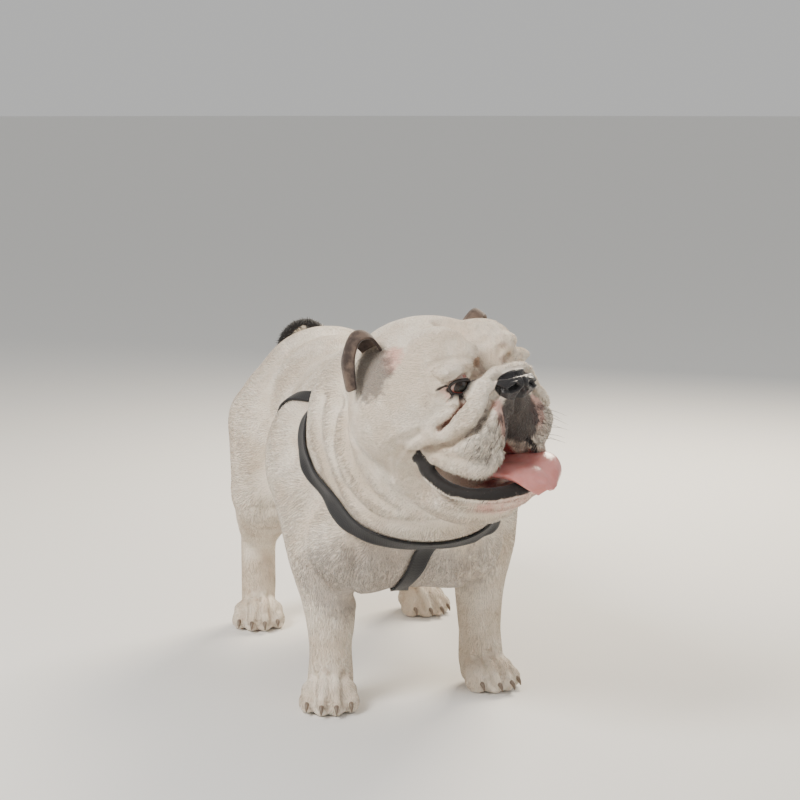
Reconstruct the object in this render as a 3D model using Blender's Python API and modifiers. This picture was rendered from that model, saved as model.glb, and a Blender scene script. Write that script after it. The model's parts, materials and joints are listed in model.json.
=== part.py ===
"""A male English bulldog, life size, standing square with its head turned to its left.

Metres, +Z up, floor at z = 0. The dog faces -Y and its left side is +X.
Points are written (left, forward, up), as a dog's own directions, and at() turns them into world places.
The flesh is built as a sculptor would build it: masses, then forms, then strokes along the folds.
It is then thinned to flat facets and parted into named pieces with cuts as thin as GAP.
"""

import math

import bmesh
import bpy
import numpy as np
from mathutils import Euler, Matrix, Vector
from mathutils.bvhtree import BVHTree

GAP = 0.0003

CHEST_HALF_WIDTH = 0.114
HEAD_YAW = math.radians(30.4)
HEAD_PITCH = math.radians(-1.2)
HEAD_ROLL = math.radians(-3.5)

MASS_VOXEL = 0.008
LIMB_VOXEL = 0.006
FORM_VOXEL = 0.003


def at(left, forward, up):
    """World place of a point given as left, forward, up."""
    return Vector((left, -forward, up))


HEAD_CENTRE = at(0.003, 0.279, 0.364)
HEAD = (
    Matrix.Translation(HEAD_CENTRE)
    @ Matrix.Rotation(HEAD_YAW, 4, "Z")
    @ Matrix.Rotation(HEAD_PITCH, 4, "X")
    @ Matrix.Rotation(HEAD_ROLL, 4, "Y")
)
BODY = Matrix.Identity(4)


def mirrored(points):
    """The same points on the dog's other side."""
    return tuple((-left, forward, up) for left, forward, up in points)


def clear_scene():
    for obj in list(bpy.data.objects):
        bpy.data.objects.remove(obj)


def new_object(name, mesh):
    obj = bpy.data.objects.new(name, mesh)
    bpy.context.scene.collection.objects.link(obj)
    return obj


def baked(obj):
    """The object's mesh with its modifiers applied, in world places. The object is removed."""
    graph = bpy.context.evaluated_depsgraph_get()
    graph.update()
    evaluated = obj.evaluated_get(graph)
    mesh = bpy.data.meshes.new_from_object(evaluated)
    mesh.transform(evaluated.matrix_world)
    bpy.data.objects.remove(obj)
    return mesh


def unit_ball(segments=24, rings=14):
    """The ball that every ellipsoid is a stretched copy of."""
    bm = bmesh.new()
    bmesh.ops.create_uvsphere(bm, u_segments=segments, v_segments=rings, radius=1)
    mesh = bpy.data.meshes.new("ball")
    bm.to_mesh(mesh)
    bm.free()
    return mesh


def tube_mesh(places, radii, sides=4):
    """A closed round tube that passes smoothly through the places."""
    curve = bpy.data.curves.new("tube", "CURVE")
    curve.dimensions = "3D"
    curve.bevel_depth = 1.0
    curve.bevel_resolution = sides
    curve.resolution_u = 6
    curve.use_fill_caps = True
    spline = curve.splines.new("BEZIER")
    spline.bezier_points.add(len(places) - 1)
    for point, place, radius in zip(spline.bezier_points, places, radii):
        point.co = place
        point.radius = radius
        point.handle_left_type = point.handle_right_type = "AUTO"
    mesh = baked(new_object("tube", curve))
    weld = bmesh.new()
    weld.from_mesh(mesh)
    bmesh.ops.remove_doubles(weld, verts=weld.verts, dist=1e-5)
    bmesh.ops.recalc_face_normals(weld, faces=weld.faces)
    weld.to_mesh(mesh)
    weld.free()
    return mesh


class Clay:
    """Closed shapes gathered together, to be fused into one body of flesh."""

    def __init__(self, base=None):
        self.frame = BODY
        self.ball_mesh = unit_ball()
        self.shapes = bmesh.new()
        if base:
            self.shapes.from_mesh(base)

    def add(self, mesh, place=BODY):
        copy = mesh.copy()
        copy.transform(place)
        self.shapes.from_mesh(copy)
        bpy.data.meshes.remove(copy)

    def ball(self, centre, radii, turn=(0, 0, 0)):
        """An ellipsoid. turn is in degrees about the left, backward and up axes."""
        rotation = Euler([math.radians(a) for a in turn]).to_matrix().to_4x4()
        size = Matrix.Diagonal((*radii, 1))
        self.add(self.ball_mesh, self.frame @ Matrix.Translation(at(*centre)) @ rotation @ size)

    def pair(self, centre, radii, turn=(0, 0, 0)):
        """The same ellipsoid on the left and the right side."""
        left, forward, up = centre
        self.ball(centre, radii, turn)
        self.ball((-left, forward, up), radii, (turn[0], -turn[1], -turn[2]))

    def tube(self, points, radii):
        """A round limb or roll through the points, with rounded ends."""
        self.add(tube_mesh([self.frame @ at(*p) for p in points], radii))
        for point, radius in ((points[0], radii[0]), (points[-1], radii[-1])):
            self.ball(point, (radius, radius, radius))

    def tube_pair(self, points, radii):
        self.tube(points, radii)
        self.tube(mirrored(points), radii)

    def fuse(self, name, voxel, smooth_steps):
        """One closed mesh of everything gathered, its junctions softened."""
        gathered = bpy.data.meshes.new(name)
        self.shapes.to_mesh(gathered)
        self.shapes.free()
        obj = new_object(name, gathered)
        remesh = obj.modifiers.new("Fuse", "REMESH")
        remesh.mode = "VOXEL"
        remesh.voxel_size = voxel
        soften = obj.modifiers.new("Soften", "SMOOTH")
        soften.factor = 0.5
        soften.iterations = smooth_steps
        return baked(obj)


# Masses: trunk, limbs and skull

FRONT_LEGS = {
    "right": ((-0.095, 0.128, 0.235), (-0.087, 0.140, 0.165), (-0.079, 0.151, 0.110),
              (-0.080, 0.160, 0.062), (-0.082, 0.168, 0.028)),
    "left": ((0.110, 0.106, 0.235), (0.110, 0.112, 0.165), (0.105, 0.120, 0.110),
             (0.103, 0.128, 0.062), (0.103, 0.134, 0.028)),
}
FRONT_LEG_RADII = {
    "right": (0.043, 0.038, 0.0315, 0.0250, 0.0275),
    "left": (0.048, 0.041, 0.0300, 0.0255, 0.0275),
}
HIND_LEGS = {
    "right": ((-0.076, -0.150, 0.265), (-0.089, -0.120, 0.185), (-0.086, -0.212, 0.105), (-0.089, -0.200, 0.028)),
    "left": ((0.080, -0.150, 0.265), (0.102, -0.120, 0.185), (0.116, -0.220, 0.105), (0.122, -0.210, 0.028)),
}
FRONT_PAWS = {"right": ((-0.087, 0.182), -14), "left": ((0.105, 0.148), 16)}
HIND_PAWS = {"right": ((-0.093, -0.180), -12), "left": ((0.124, -0.190), 14)}
TOES = ((-0.0235, 0.013), (-0.0080, 0.025), (0.0080, 0.025), (0.0235, 0.013))


def paw_frame(place, heading):
    """Frame of a paw: its origin on the floor under the wrist, turned out by heading degrees."""
    left, forward = place
    return Matrix.Translation(at(left, forward, 0)) @ Matrix.Rotation(math.radians(heading), 4, "Z")


# The roll of skin behind the head, from the top of the neck down its right side, and the fold over the collar
NECK_ROLL = ((0.030, 0.160, 0.372), (-0.010, 0.162, 0.378), (-0.040, 0.163, 0.373), (-0.068, 0.164, 0.335),
             (-0.079, 0.168, 0.298), (-0.079, 0.178, 0.268))
THROAT_FOLD = ((-0.088, 0.172, 0.285), (-0.078, 0.191, 0.262), (-0.059, 0.216, 0.242), (-0.030, 0.236, 0.228),
               (0.010, 0.244, 0.223), (0.048, 0.236, 0.226), (0.080, 0.208, 0.238), (0.098, 0.176, 0.260),
               (0.104, 0.150, 0.285))


def build_trunk():
    clay = Clay()
    clay.ball((0.004, 0.045, 0.258), (CHEST_HALF_WIDTH, 0.150, 0.128))
    clay.ball((0.008, 0.150, 0.226), (0.106, 0.096, 0.104))
    clay.ball((0.002, 0.070, 0.316), (0.090, 0.120, 0.072))
    clay.ball((0.002, -0.045, 0.250), (0.094, 0.160, 0.104), (-6, 0, 0))
    clay.ball((0, -0.080, 0.294), (0.094, 0.150, 0.088))
    clay.ball((0, -0.180, 0.288), (0.098, 0.098, 0.094))
    clay.ball((0.096, 0.092, 0.245), (0.054, 0.082, 0.104), (8, 0, 0))
    clay.ball((-0.090, 0.094, 0.262), (0.050, 0.064, 0.078), (8, 0, 0))
    clay.pair((0.050, 0.182, 0.184), (0.064, 0.058, 0.060))
    clay.ball((0, 0.180, 0.320), (0.112, 0.080, 0.100))
    clay.ball((0, 0.222, 0.300), (0.100, 0.082, 0.102))
    clay.ball((0.006, 0.238, 0.242), (0.088, 0.062, 0.054))
    clay.pair((0.074, -0.162, 0.229), (0.056, 0.094, 0.108), (-14, 0, 0))
    return clay.fuse("trunk", MASS_VOXEL, 16)


def build_masses():
    clay = Clay(build_trunk())
    clay.tube(NECK_ROLL, (0.033, 0.034, 0.034, 0.034, 0.030, 0.024))
    clay.tube(THROAT_FOLD, (0.018, 0.019, 0.019, 0.020, 0.020, 0.020, 0.019, 0.019, 0.018))
    for side in ("left", "right"):
        clay.tube(FRONT_LEGS[side], FRONT_LEG_RADII[side])
        hip, knee, hock, paw = HIND_LEGS[side]
        shin = ((knee[0] + hock[0]) / 2, -0.172, 0.146)
        clay.tube((hip, knee), (0.060, 0.050))
        clay.tube((knee, shin, hock), (0.047, 0.037, 0.0235))
        clay.tube((hock, paw), (0.0235, 0.0235))
    clay.frame = HEAD
    clay.ball((0, -0.010, 0.010), (0.087, 0.086, 0.067))
    clay.pair((0.056, 0.000, -0.018), (0.039, 0.062, 0.056))
    clay.pair((0.030, 0.040, 0.038), (0.040, 0.040, 0.036))
    clay.ball((0, 0.050, 0.000), (0.076, 0.040, 0.052))
    clay.ball((0, 0.000, -0.072), (0.070, 0.058, 0.046))
    clay.ball((0, 0.036, -0.104), (0.057, 0.062, 0.031), (12, 0, 0))
    return clay.fuse("masses", LIMB_VOXEL, 8)


# Forms: what makes it a bulldog's face, feet and tail

NOSE_ROLL = ((0, 0.103, 0.027), (0.022, 0.102, 0.022), (0.038, 0.099, 0.006), (0.044, 0.096, -0.009),
             (0.053, 0.088, -0.0225), (0.066, 0.060, -0.0335), (0.077, 0.032, -0.038))
FLEW_EDGE = ((0.058, 0.036, -0.043), (0.065, 0.060, -0.053), (0.060, 0.086, -0.062), (0.043, 0.104, -0.0665),
             (0.030, 0.112, -0.054))
LOWER_LIP = ((0.060, 0.034, -0.045), (0.066, 0.050, -0.070), (0.060, 0.080, -0.088),
             (0.037, 0.109, -0.093), (0, 0.121, -0.091))
TAIL = ((0.010, -0.250, 0.333), (0.010, -0.269, 0.354), (0.002, -0.276, 0.366),
        (-0.014, -0.276, 0.369), (-0.032, -0.270, 0.361), (-0.044, -0.262, 0.347))


def add_muzzle(clay):
    clay.ball((0, 0.078, 0.000), (0.056, 0.040, 0.038))
    clay.ball((0, 0.084, 0.014), (0.040, 0.022, 0.020))
    clay.pair((0.035, 0.086, -0.026), (0.035, 0.036, 0.042), (0, 0, 10))
    clay.pair((0.053, 0.064, -0.032), (0.021, 0.036, 0.030))
    clay.tube_pair(FLEW_EDGE, (0.007, 0.008, 0.0085, 0.0085, 0.0080))
    clay.ball((0, 0.109, 0.015), (0.028, 0.019, 0.0130))
    clay.pair((0.019, 0.111, 0.013), (0.011, 0.013, 0.010))
    clay.tube_pair(NOSE_ROLL, (0.010, 0.0105, 0.011, 0.0115, 0.012, 0.012, 0.010))


def add_jaw(clay):
    clay.ball((0, 0.056, -0.104), (0.056, 0.060, 0.018))
    clay.ball((0, 0.098, -0.098), (0.038, 0.026, 0.011))
    lip = LOWER_LIP + mirrored(LOWER_LIP[-2::-1])
    clay.tube(lip, (0.007, 0.0085, 0.0085, 0.009, 0.0095, 0.009, 0.0085, 0.0085, 0.007))


def add_brows(clay):
    clay.pair((0.044, 0.064, 0.036), (0.027, 0.018, 0.010), (0, 10, -30))
    clay.pair((0.029, 0.062, 0.042), (0.022, 0.027, 0.021))


def add_paw(clay, place, heading):
    clay.frame = paw_frame(place, heading)
    clay.ball((0, 0.000, 0.018), (0.0290, 0.034, 0.0215))
    for left, forward in TOES:
        clay.ball((left, forward, 0.0105), (0.0104, 0.0170, 0.0135))
        clay.ball((left * 0.92, forward - 0.010, 0.0210), (0.0095, 0.0130, 0.0105))
    clay.frame = BODY


def build_flesh():
    clay = Clay(build_masses())
    clay.frame = HEAD
    add_muzzle(clay)
    add_jaw(clay)
    add_brows(clay)
    clay.frame = BODY
    clay.tube(TAIL, (0.018, 0.014, 0.0115, 0.0100, 0.0085, 0.0060))
    for paws in (FRONT_PAWS, HIND_PAWS):
        for place, heading in paws.values():
            add_paw(clay, place, heading)
    return clay.fuse("flesh", FORM_VOXEL, 3)


# Strokes: folds raised and creases pressed in the skin, each along a path laid on the surface

UPPER_LID = ((0.062, 0.070, 0.020), (0.055, 0.080, 0.029), (0.045, 0.087, 0.032), (0.033, 0.090, 0.026))
LOWER_LID = ((0.062, 0.070, 0.020), (0.055, 0.080, 0.015), (0.045, 0.086, 0.013), (0.033, 0.090, 0.024))

# frame, path, width, height
FACE_STROKES = (
    # between the cheek and the roll over the nose
    (HEAD, ((0, 0.090, 0.040), (0.022, 0.090, 0.034), (0.038, 0.090, 0.020), (0.044, 0.090, 0.006),
            (0.048, 0.088, -0.008), (0.056, 0.080, -0.0166), (0.066, 0.068, -0.023)), 0.008, -0.008),
    # between the roll and the upper lip
    (HEAD, ((0.028, 0.113, 0.012), (0.038, 0.106, -0.008), (0.047, 0.098, -0.024),
            (0.060, 0.080, -0.037), (0.068, 0.056, -0.042)), 0.008, -0.007),
    # brow folds
    (HEAD, ((0.010, 0.088, 0.045), (0.020, 0.082, 0.062), (0.038, 0.060, 0.072)), 0.009, -0.003),
    (HEAD, UPPER_LID, 0.006, 0.0022),
    (HEAD, LOWER_LID, 0.006, 0.0018),
    # nostrils
    (HEAD, ((0.0105, 0.128, 0.018), (0.015, 0.126, 0.012), (0.021, 0.122, 0.011)), 0.0060, -0.008),
    (HEAD, ((0.021, 0.122, 0.011), (0.029, 0.112, 0.015)), 0.004, -0.004),
)
CENTRE_STROKES = (
    (HEAD, ((0, 0.090, 0.036), (0, 0.088, 0.050), (0, 0.078, 0.066), (0, 0.056, 0.078), (0, 0.020, 0.080)),
     0.018, -0.011),
    (HEAD, ((0, 0.128, 0.006), (0, 0.126, -0.010), (0, 0.125, -0.030), (0, 0.120, -0.042)), 0.007, -0.006),
)
NECK_STROKES = (
    (BODY, ((-0.104, 0.235, 0.350), (-0.108, 0.235, 0.300), (-0.095, 0.245, 0.255), (-0.050, 0.280, 0.225),
            (0.010, 0.300, 0.215), (0.070, 0.280, 0.225), (0.104, 0.240, 0.260)), 0.016, -0.006),
    (BODY, ((-0.108, 0.205, 0.350), (-0.112, 0.205, 0.300), (-0.104, 0.215, 0.250)), 0.016, -0.004),
    # the groove behind the neck, where the harness lies, and the roll of skin in front of it
    (BODY, ((0, 0.112, 0.410), (-0.050, 0.114, 0.400), (-0.088, 0.120, 0.362), (-0.112, 0.126, 0.318),
            (-0.122, 0.136, 0.285)), 0.034, -0.012),
    (BODY, ((0, 0.112, 0.410), (0.050, 0.114, 0.400), (0.088, 0.120, 0.362), (0.112, 0.120, 0.318),
            (0.126, 0.130, 0.285)), 0.034, -0.012),
)


def mesh_array(mesh, attribute):
    values = np.empty(len(mesh.vertices) * 3, np.float32)
    mesh.vertices.foreach_get(attribute, values)
    return values.reshape(-1, 3).astype(float)


def set_places(mesh, points):
    mesh.vertices.foreach_set("co", points.astype(np.float32).ravel())
    mesh.update()


def surface_tree(mesh):
    return BVHTree.FromPolygons([v.co for v in mesh.vertices], [p.vertices for p in mesh.polygons])


def resampled(places, step):
    """The broken line with a point about every step."""
    line = []
    for start, end in zip(places[:-1], places[1:]):
        count = max(1, round((end - start).length / step))
        line += [start.lerp(end, i / count) for i in range(count)]
    return line + [places[-1]]


def path_distance(points, path):
    """Distance of each point from the broken line."""
    nearest = np.full(len(points), np.inf)
    for start, end in zip(path[:-1], path[1:]):
        step = end - start
        along = np.clip((points - start) @ step / max(step @ step, 1e-12), 0, 1)
        gap = np.linalg.norm(points - start - along[:, None] * step, axis=1)
        nearest = np.minimum(nearest, gap)
    return nearest


def stroke(mesh, tree, frame, path, width, height):
    """Moves the skin near the path along its normals, most on the path and none at its width."""
    line = resampled([frame @ at(*p) for p in path], 0.004)
    laid = np.array([tree.find_nearest(p)[0] for p in line])
    points = mesh_array(mesh, "co")
    near = np.where(((points > laid.min(0) - width) & (points < laid.max(0) + width)).all(1))[0]
    share = np.clip(1 - path_distance(points[near], laid) / width, 0, 1)
    points[near] += mesh_array(mesh, "normal")[near] * (height * share * share * (3 - 2 * share))[:, None]
    set_places(mesh, points)


def add_strokes(mesh):
    tree = surface_tree(mesh)
    for frame, path, width, height in FACE_STROKES:
        stroke(mesh, tree, frame, path, width, height)
        stroke(mesh, tree, frame, mirrored(path), width, height)
    for frame, path, width, height in CENTRE_STROKES + NECK_STROKES:
        stroke(mesh, tree, frame, path, width, height)


def stand_on_floor(mesh, reach):
    """Brings what is under the floor, or less than reach above it, to the floor, so that the pads are flat."""
    points = mesh_array(mesh, "co")
    points[points[:, 2] < reach, 2] = 0
    set_places(mesh, points)


# Facets: the skin thinned to flat faces, most of them kept on the head

FLESH_FACES = 7200
FACE_CENTRE = HEAD @ at(0, 0.07, -0.02)
FACE_REACH = 0.11
FACE_SHARE = 0.62
PAW_HEIGHT = 0.045
PAW_SHARE = 0.55
PAD_REACH = 0.0025
TAIL_CENTRE = at(-0.010, -0.272, 0.362)
TAIL_REACH = 0.045
TAIL_SHARE = 0.40


def thinned(mesh, face_count):
    """The skin in flat faces: face_count in all, smaller on the face and the paws."""
    obj = new_object("thinned", mesh)
    group = obj.vertex_groups.new(name="coarse")
    points = mesh_array(mesh, "co")
    weights = np.ones(len(points))
    weights[points[:, 2] < PAW_HEIGHT] = PAW_SHARE
    weights[np.linalg.norm(points - np.array(TAIL_CENTRE), axis=1) < TAIL_REACH] = TAIL_SHARE
    weights[np.linalg.norm(points - np.array(FACE_CENTRE), axis=1) < FACE_REACH] = 1 - FACE_SHARE
    for weight in set(weights):
        group.add([int(i) for i in np.where(weights == weight)[0]], weight, "REPLACE")
    decimate = obj.modifiers.new("Thin", "DECIMATE")
    decimate.ratio = face_count / (2 * len(mesh.polygons))
    decimate.vertex_group = "coarse"
    decimate.vertex_group_factor = 1.0
    decimate.use_collapse_triangulate = True
    return baked(obj)


# Thin cuts that part the flesh. Each is (frame, a point on it, the direction it faces, radius)

CUTS = (
    (BODY, (-0.118, 0.125, 0.182), (-0.745, 0, -0.667), 0.120),
    (BODY, (0.118, 0.112, 0.182), (0.745, 0, -0.667), 0.120),
    (BODY, (-0.069, -0.148, 0.237), (-0.820, -0.350, -0.455), 0.160),
    (BODY, (0.069, -0.148, 0.237), (0.820, -0.350, -0.455), 0.160),
    (BODY, (0.010, -0.266, 0.350), (-0.10, -0.75, 0.65), 0.026),
    (BODY, (0, -0.030, 0.260), (0, 1, 0), 0.200),
    (BODY, (0, 0.190, 0.300), (0, 0.857, 0.515), 0.190),
    (BODY, (0, 0.235, 0.330), (0.311, 0.854, 0.418), 0.180),
)
JAW_CUT_TOP = (0, 0.066, -0.0695)
JAW_CUT_FOOT = (0, -0.010, -0.160)

# A point on each piece of flesh
FLESH = {
    "head": (HEAD, (0, 0.0, 0.080)),
    "lower_jaw": (HEAD, (0, 0.120, -0.100)),
    "neck": (BODY, (-0.112, 0.205, 0.320)),
    "chest": (BODY, (0, 0.060, 0.392)),
    "loin": (BODY, (0, -0.120, 0.396)),
    "tail": (BODY, (-0.014, -0.283, 0.378)),
    "leg_front_left": (BODY, (0.109, 0.150, 0.0)),
    "leg_front_right": (BODY, (-0.100, 0.185, 0.0)),
    "leg_hind_left": (BODY, (0.112, -0.185, 0.0)),
    "leg_hind_right": (BODY, (-0.096, -0.180, 0.0)),
}


def disc(frame, centre, facing, radius):
    """A round plate as thick as GAP."""
    bm = bmesh.new()
    turn = (frame.to_3x3() @ at(*facing)).to_track_quat("Z", "Y").to_matrix().to_4x4()
    place = Matrix.Translation(frame @ at(*centre)) @ turn
    bmesh.ops.create_cone(bm, segments=24, cap_ends=True, radius1=radius, radius2=radius, depth=GAP, matrix=place)
    mesh = bpy.data.meshes.new("disc")
    bm.to_mesh(mesh)
    bm.free()
    return mesh


def jaw_plate():
    """The cut that frees the lower jaw: from inside the mouth back and down through the throat."""
    top, foot = at(*JAW_CUT_TOP), at(*JAW_CUT_FOOT)
    down = (foot - top).normalized()
    left = Vector((1, 0, 0))
    axes = Matrix((left, down.cross(left), down)).transposed().to_4x4()
    size = Matrix.Diagonal((0.24, GAP, (foot - top).length, 1))
    bm = bmesh.new()
    bmesh.ops.create_cube(bm, size=1, matrix=HEAD @ Matrix.Translation((top + foot) / 2) @ axes @ size)
    mesh = bpy.data.meshes.new("plate")
    bm.to_mesh(mesh)
    bm.free()
    return mesh


def cut(mesh, cutter, operation="DIFFERENCE"):
    """The mesh less the cutter, or the part of it inside the cutter."""
    obj = new_object("cut", mesh)
    other = new_object("cutter", cutter)
    boolean = obj.modifiers.new("Cut", "BOOLEAN")
    boolean.operation = operation
    boolean.solver = "EXACT"
    boolean.object = other
    result = baked(obj)
    bpy.data.objects.remove(other)
    return result


def islands(mesh):
    """The separate closed surfaces of the mesh, as lists of vertex numbers."""
    parent = list(range(len(mesh.vertices)))

    def root(i):
        while parent[i] != i:
            parent[i] = parent[parent[i]]
            i = parent[i]
        return i

    for edge in mesh.edges:
        a, b = edge.vertices
        parent[root(a)] = root(b)
    groups = {}
    for i in range(len(parent)):
        groups.setdefault(root(i), []).append(i)
    return list(groups.values())


def island_mesh(mesh, vertices, name):
    bm = bmesh.new()
    bm.from_mesh(mesh)
    keep = set(vertices)
    bmesh.ops.delete(bm, geom=[v for v in bm.verts if v.index not in keep], context="VERTS")
    piece = bpy.data.meshes.new(name)
    bm.to_mesh(piece)
    bm.free()
    return piece


def parted(mesh):
    """The pieces of flesh by name."""
    for frame, centre, facing, radius in CUTS:
        mesh = cut(mesh, disc(frame, centre, facing, radius))
    mesh = cut(mesh, jaw_plate())
    groups = islands(mesh)
    print("islands", sorted(len(g) for g in groups))
    points = mesh_array(mesh, "co")
    pieces = {}
    for name, (frame, place) in FLESH.items():
        seed = np.array(frame @ at(*place))
        reach = [np.linalg.norm(points[g] - seed, axis=1).min() for g in groups]
        pieces[name] = island_mesh(mesh, groups[int(np.argmin(reach))], name)
    return pieces


# Eyes

EYE_RADIUS = 0.0125
EYE = (0.0410, 0.0740, 0.0195)
EYE_OPENING = (0.0490, 0.0880, 0.0185)
EYE_OPENING_RADII = (0.0145, 0.0110, 0.0062)
EYE_OPENING_TURN = -37


def ellipsoid(frame, centre, radii, turn=0):
    mesh = unit_ball(18, 11)
    size = Matrix.Diagonal((*radii, 1))
    mesh.transform(frame @ Matrix.Translation(at(*centre)) @ Matrix.Rotation(math.radians(turn), 4, "Z") @ size)
    return mesh


def with_sockets(mesh):
    """The flesh with a round socket behind each eye and the opening between its lids."""
    for side in (1, -1):
        left, forward, up = EYE
        reach = EYE_RADIUS + GAP
        mesh = cut(mesh, ellipsoid(HEAD, (side * left, forward, up), (reach, reach, reach)))
        left, forward, up = EYE_OPENING
        mesh = cut(mesh, ellipsoid(HEAD, (side * left, forward, up), EYE_OPENING_RADII, side * EYE_OPENING_TURN))
    return mesh


def eyeball(side):
    left, forward, up = EYE
    return ellipsoid(HEAD, (side * left, forward, up), (EYE_RADIUS, EYE_RADIUS, EYE_RADIUS))


# Sheets: ears, tongue and straps are curved sheets given a thickness

def sheet(rows, thickness):
    """A closed solid from rows of places."""
    bm = bmesh.new()
    grid = [[bm.verts.new(place) for place in row] for row in rows]
    for row, after in zip(grid[:-1], grid[1:]):
        for i in range(len(row) - 1):
            bm.faces.new((row[i], row[i + 1], after[i + 1], after[i]))
    mesh = bpy.data.meshes.new("sheet")
    bm.to_mesh(mesh)
    bm.free()
    obj = new_object("sheet", mesh)
    solidify = obj.modifiers.new("Thickness", "SOLIDIFY")
    solidify.thickness = thickness
    solidify.offset = 0
    solidify.use_even_offset = True
    return baked(obj)


def between(points, share, ring=False):
    """The place at a share from 0 to 1 along the points, on a smooth curve through them."""
    count = len(points)
    spans = count if ring else count - 1
    i = math.floor(share * spans) if ring else max(0, min(int(share * spans), spans - 1))
    t = share * spans - i
    near = [k % count if ring else max(0, min(spans, k)) for k in range(i - 1, i + 3)]
    a, b, c, d = (Vector(points[k]) for k in near)
    return 0.5 * (2 * b + (c - a) * t + (2 * a - 5 * b + 4 * c - d) * t * t + (3 * b - 3 * c + d - a) * t ** 3)


# The ear's outer rim, its hollow and its inner rim, from the root to the tip
EAR_RIM = ((0.067, -0.006, 0.050), (0.079, -0.006, 0.064), (0.090, -0.012, 0.063),
           (0.095, -0.017, 0.045), (0.093, -0.019, 0.014))
EAR_HOLLOW = ((0.062, -0.018, 0.055), (0.076, -0.020, 0.070), (0.089, -0.025, 0.069),
              (0.097, -0.028, 0.046), (0.095, -0.027, 0.011))
EAR_INNER = ((0.064, -0.034, 0.044), (0.074, -0.036, 0.054), (0.085, -0.037, 0.055),
             (0.094, -0.036, 0.040), (0.094, -0.032, 0.013))
EAR_THICKNESS = 0.0032
LEFT_EAR_FORWARD = 0.009
EAR_ROWS = 10
EAR_COLUMNS = 5


def ear(side):
    """An ear of the rose shape. The left one is carried a little further forward."""
    advance = LEFT_EAR_FORWARD if side > 0 else 0
    rows = []
    for i in range(EAR_ROWS):
        share = i / (EAR_ROWS - 1)
        across = [between(line, share) for line in (EAR_RIM, EAR_HOLLOW, EAR_INNER)]
        row = []
        for j in range(EAR_COLUMNS):
            left, forward, up = between(across, j / (EAR_COLUMNS - 1))
            row.append(HEAD @ at(side * left, forward + advance, up))
        rows.append(row)
    return sheet(rows, EAR_THICKNESS)


# The tongue: centre line from inside the mouth over the lip to the tip, with its half width and groove

TONGUE = ((0.000, 0.050, -0.073), (0.004, 0.085, -0.069), (0.008, 0.112, -0.0665),
          (0.011, 0.129, -0.070), (0.013, 0.140, -0.080), (0.013, 0.144, -0.090))
TONGUE_HALF_WIDTH = (0.024, 0.030, 0.034, 0.033, 0.026, 0.012)
TONGUE_THICKNESS = 0.008
TONGUE_TILT = math.radians(9)
TONGUE_ROWS = 11
TONGUE_COLUMNS = 7


def tongue():
    rows = []
    widths = [(w, 0, 0) for w in TONGUE_HALF_WIDTH]
    for i in range(TONGUE_ROWS):
        share = i / (TONGUE_ROWS - 1)
        centre = between(TONGUE, share)
        half = between(widths, share)[0]
        row = []
        for j in range(TONGUE_COLUMNS):
            across = 2 * j / (TONGUE_COLUMNS - 1) - 1
            groove = -0.0035 * (1 - min(1, abs(across) * 2.2)) - 0.004 * across ** 4
            left = centre[0] + half * across * math.cos(TONGUE_TILT)
            up = centre[2] + half * across * math.sin(TONGUE_TILT) + groove
            row.append(HEAD @ at(left, centre[1] - 0.010 * across * across * share, up))
        rows.append(row)
    return sheet(rows, TONGUE_THICKNESS)


# The harness: webbing laid on the body

WEB_WIDTH = 0.020
WEB_THICKNESS = 0.0025
BAND_DEPTH = 0.030
HARNESS_CENTRE = at(0.004, 0.120, 0.270)
COLLAR = ((0.000, 0.118, 0.400), (-0.055, 0.120, 0.385), (-0.092, 0.128, 0.345), (-0.108, 0.140, 0.310),
          (-0.109, 0.157, 0.280), (-0.098, 0.181, 0.253), (-0.0765, 0.212, 0.229), (-0.030, 0.243, 0.207),
          (0.008, 0.250, 0.200), (0.050, 0.238, 0.206), (0.088, 0.205, 0.220), (0.112, 0.165, 0.245),
          (0.116, 0.140, 0.285), (0.092, 0.126, 0.345), (0.055, 0.120, 0.385))
GIRTH_SIDE = ((0.082, 0.120, 0.348), (0.098, 0.104, 0.333), (0.112, 0.080, 0.316), (0.121, 0.056, 0.286),
              (0.122, 0.036, 0.245), (0.112, 0.024, 0.200), (0.070, 0.015, 0.150))
GIRTH = GIRTH_SIDE + ((0, 0.012, 0.130),) + mirrored(GIRTH_SIDE[::-1])
CENTRE_STRAP = ((0.006, 0.250, 0.192), (0.000, 0.235, 0.155), (-0.010, 0.200, 0.125), (0.000, 0.150, 0.118),
                (0.000, 0.080, 0.120), (0.000, 0.026, 0.127))


def band(path, rows, ring=False):
    """A flat bar of webbing's width along the path, as deep as BAND_DEPTH towards HARNESS_CENTRE and away from it."""
    bm = bmesh.new()
    sections = []
    for i in range(rows):
        share = i / (rows if ring else rows - 1)
        spot = at(*between(path, share, ring))
        along = at(*between(path, share + 0.01, ring)) - at(*between(path, share - 0.01, ring))
        out = spot - HARNESS_CENTRE
        side = along.cross(out).normalized() * (WEB_WIDTH / 2)
        out = side.cross(along).normalized() * BAND_DEPTH
        corners = (spot - side - out, spot + side - out, spot + side + out, spot - side + out)
        sections.append([bm.verts.new(corner) for corner in corners])
    following = sections[1:] + sections[:1] if ring else sections[1:]
    for section, after in zip(sections, following):
        for k in range(4):
            bm.faces.new((section[k], section[k - 1], after[k - 1], after[k]))
    if not ring:
        bm.faces.new(sections[0])
        bm.faces.new(sections[-1][::-1])
    bmesh.ops.recalc_face_normals(bm, faces=bm.faces)
    mesh = bpy.data.meshes.new("band")
    bm.to_mesh(mesh)
    bm.free()
    return mesh


def strap(flesh, path, rows, ring=False):
    """Webbing that lies on the body at GAP: the part of the band between two skins grown from the flesh."""
    outer = cut(band(path, rows, ring), grown(flesh, GAP + WEB_THICKNESS), "INTERSECT")
    return largest(cut(outer, grown(flesh, GAP)))


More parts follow.
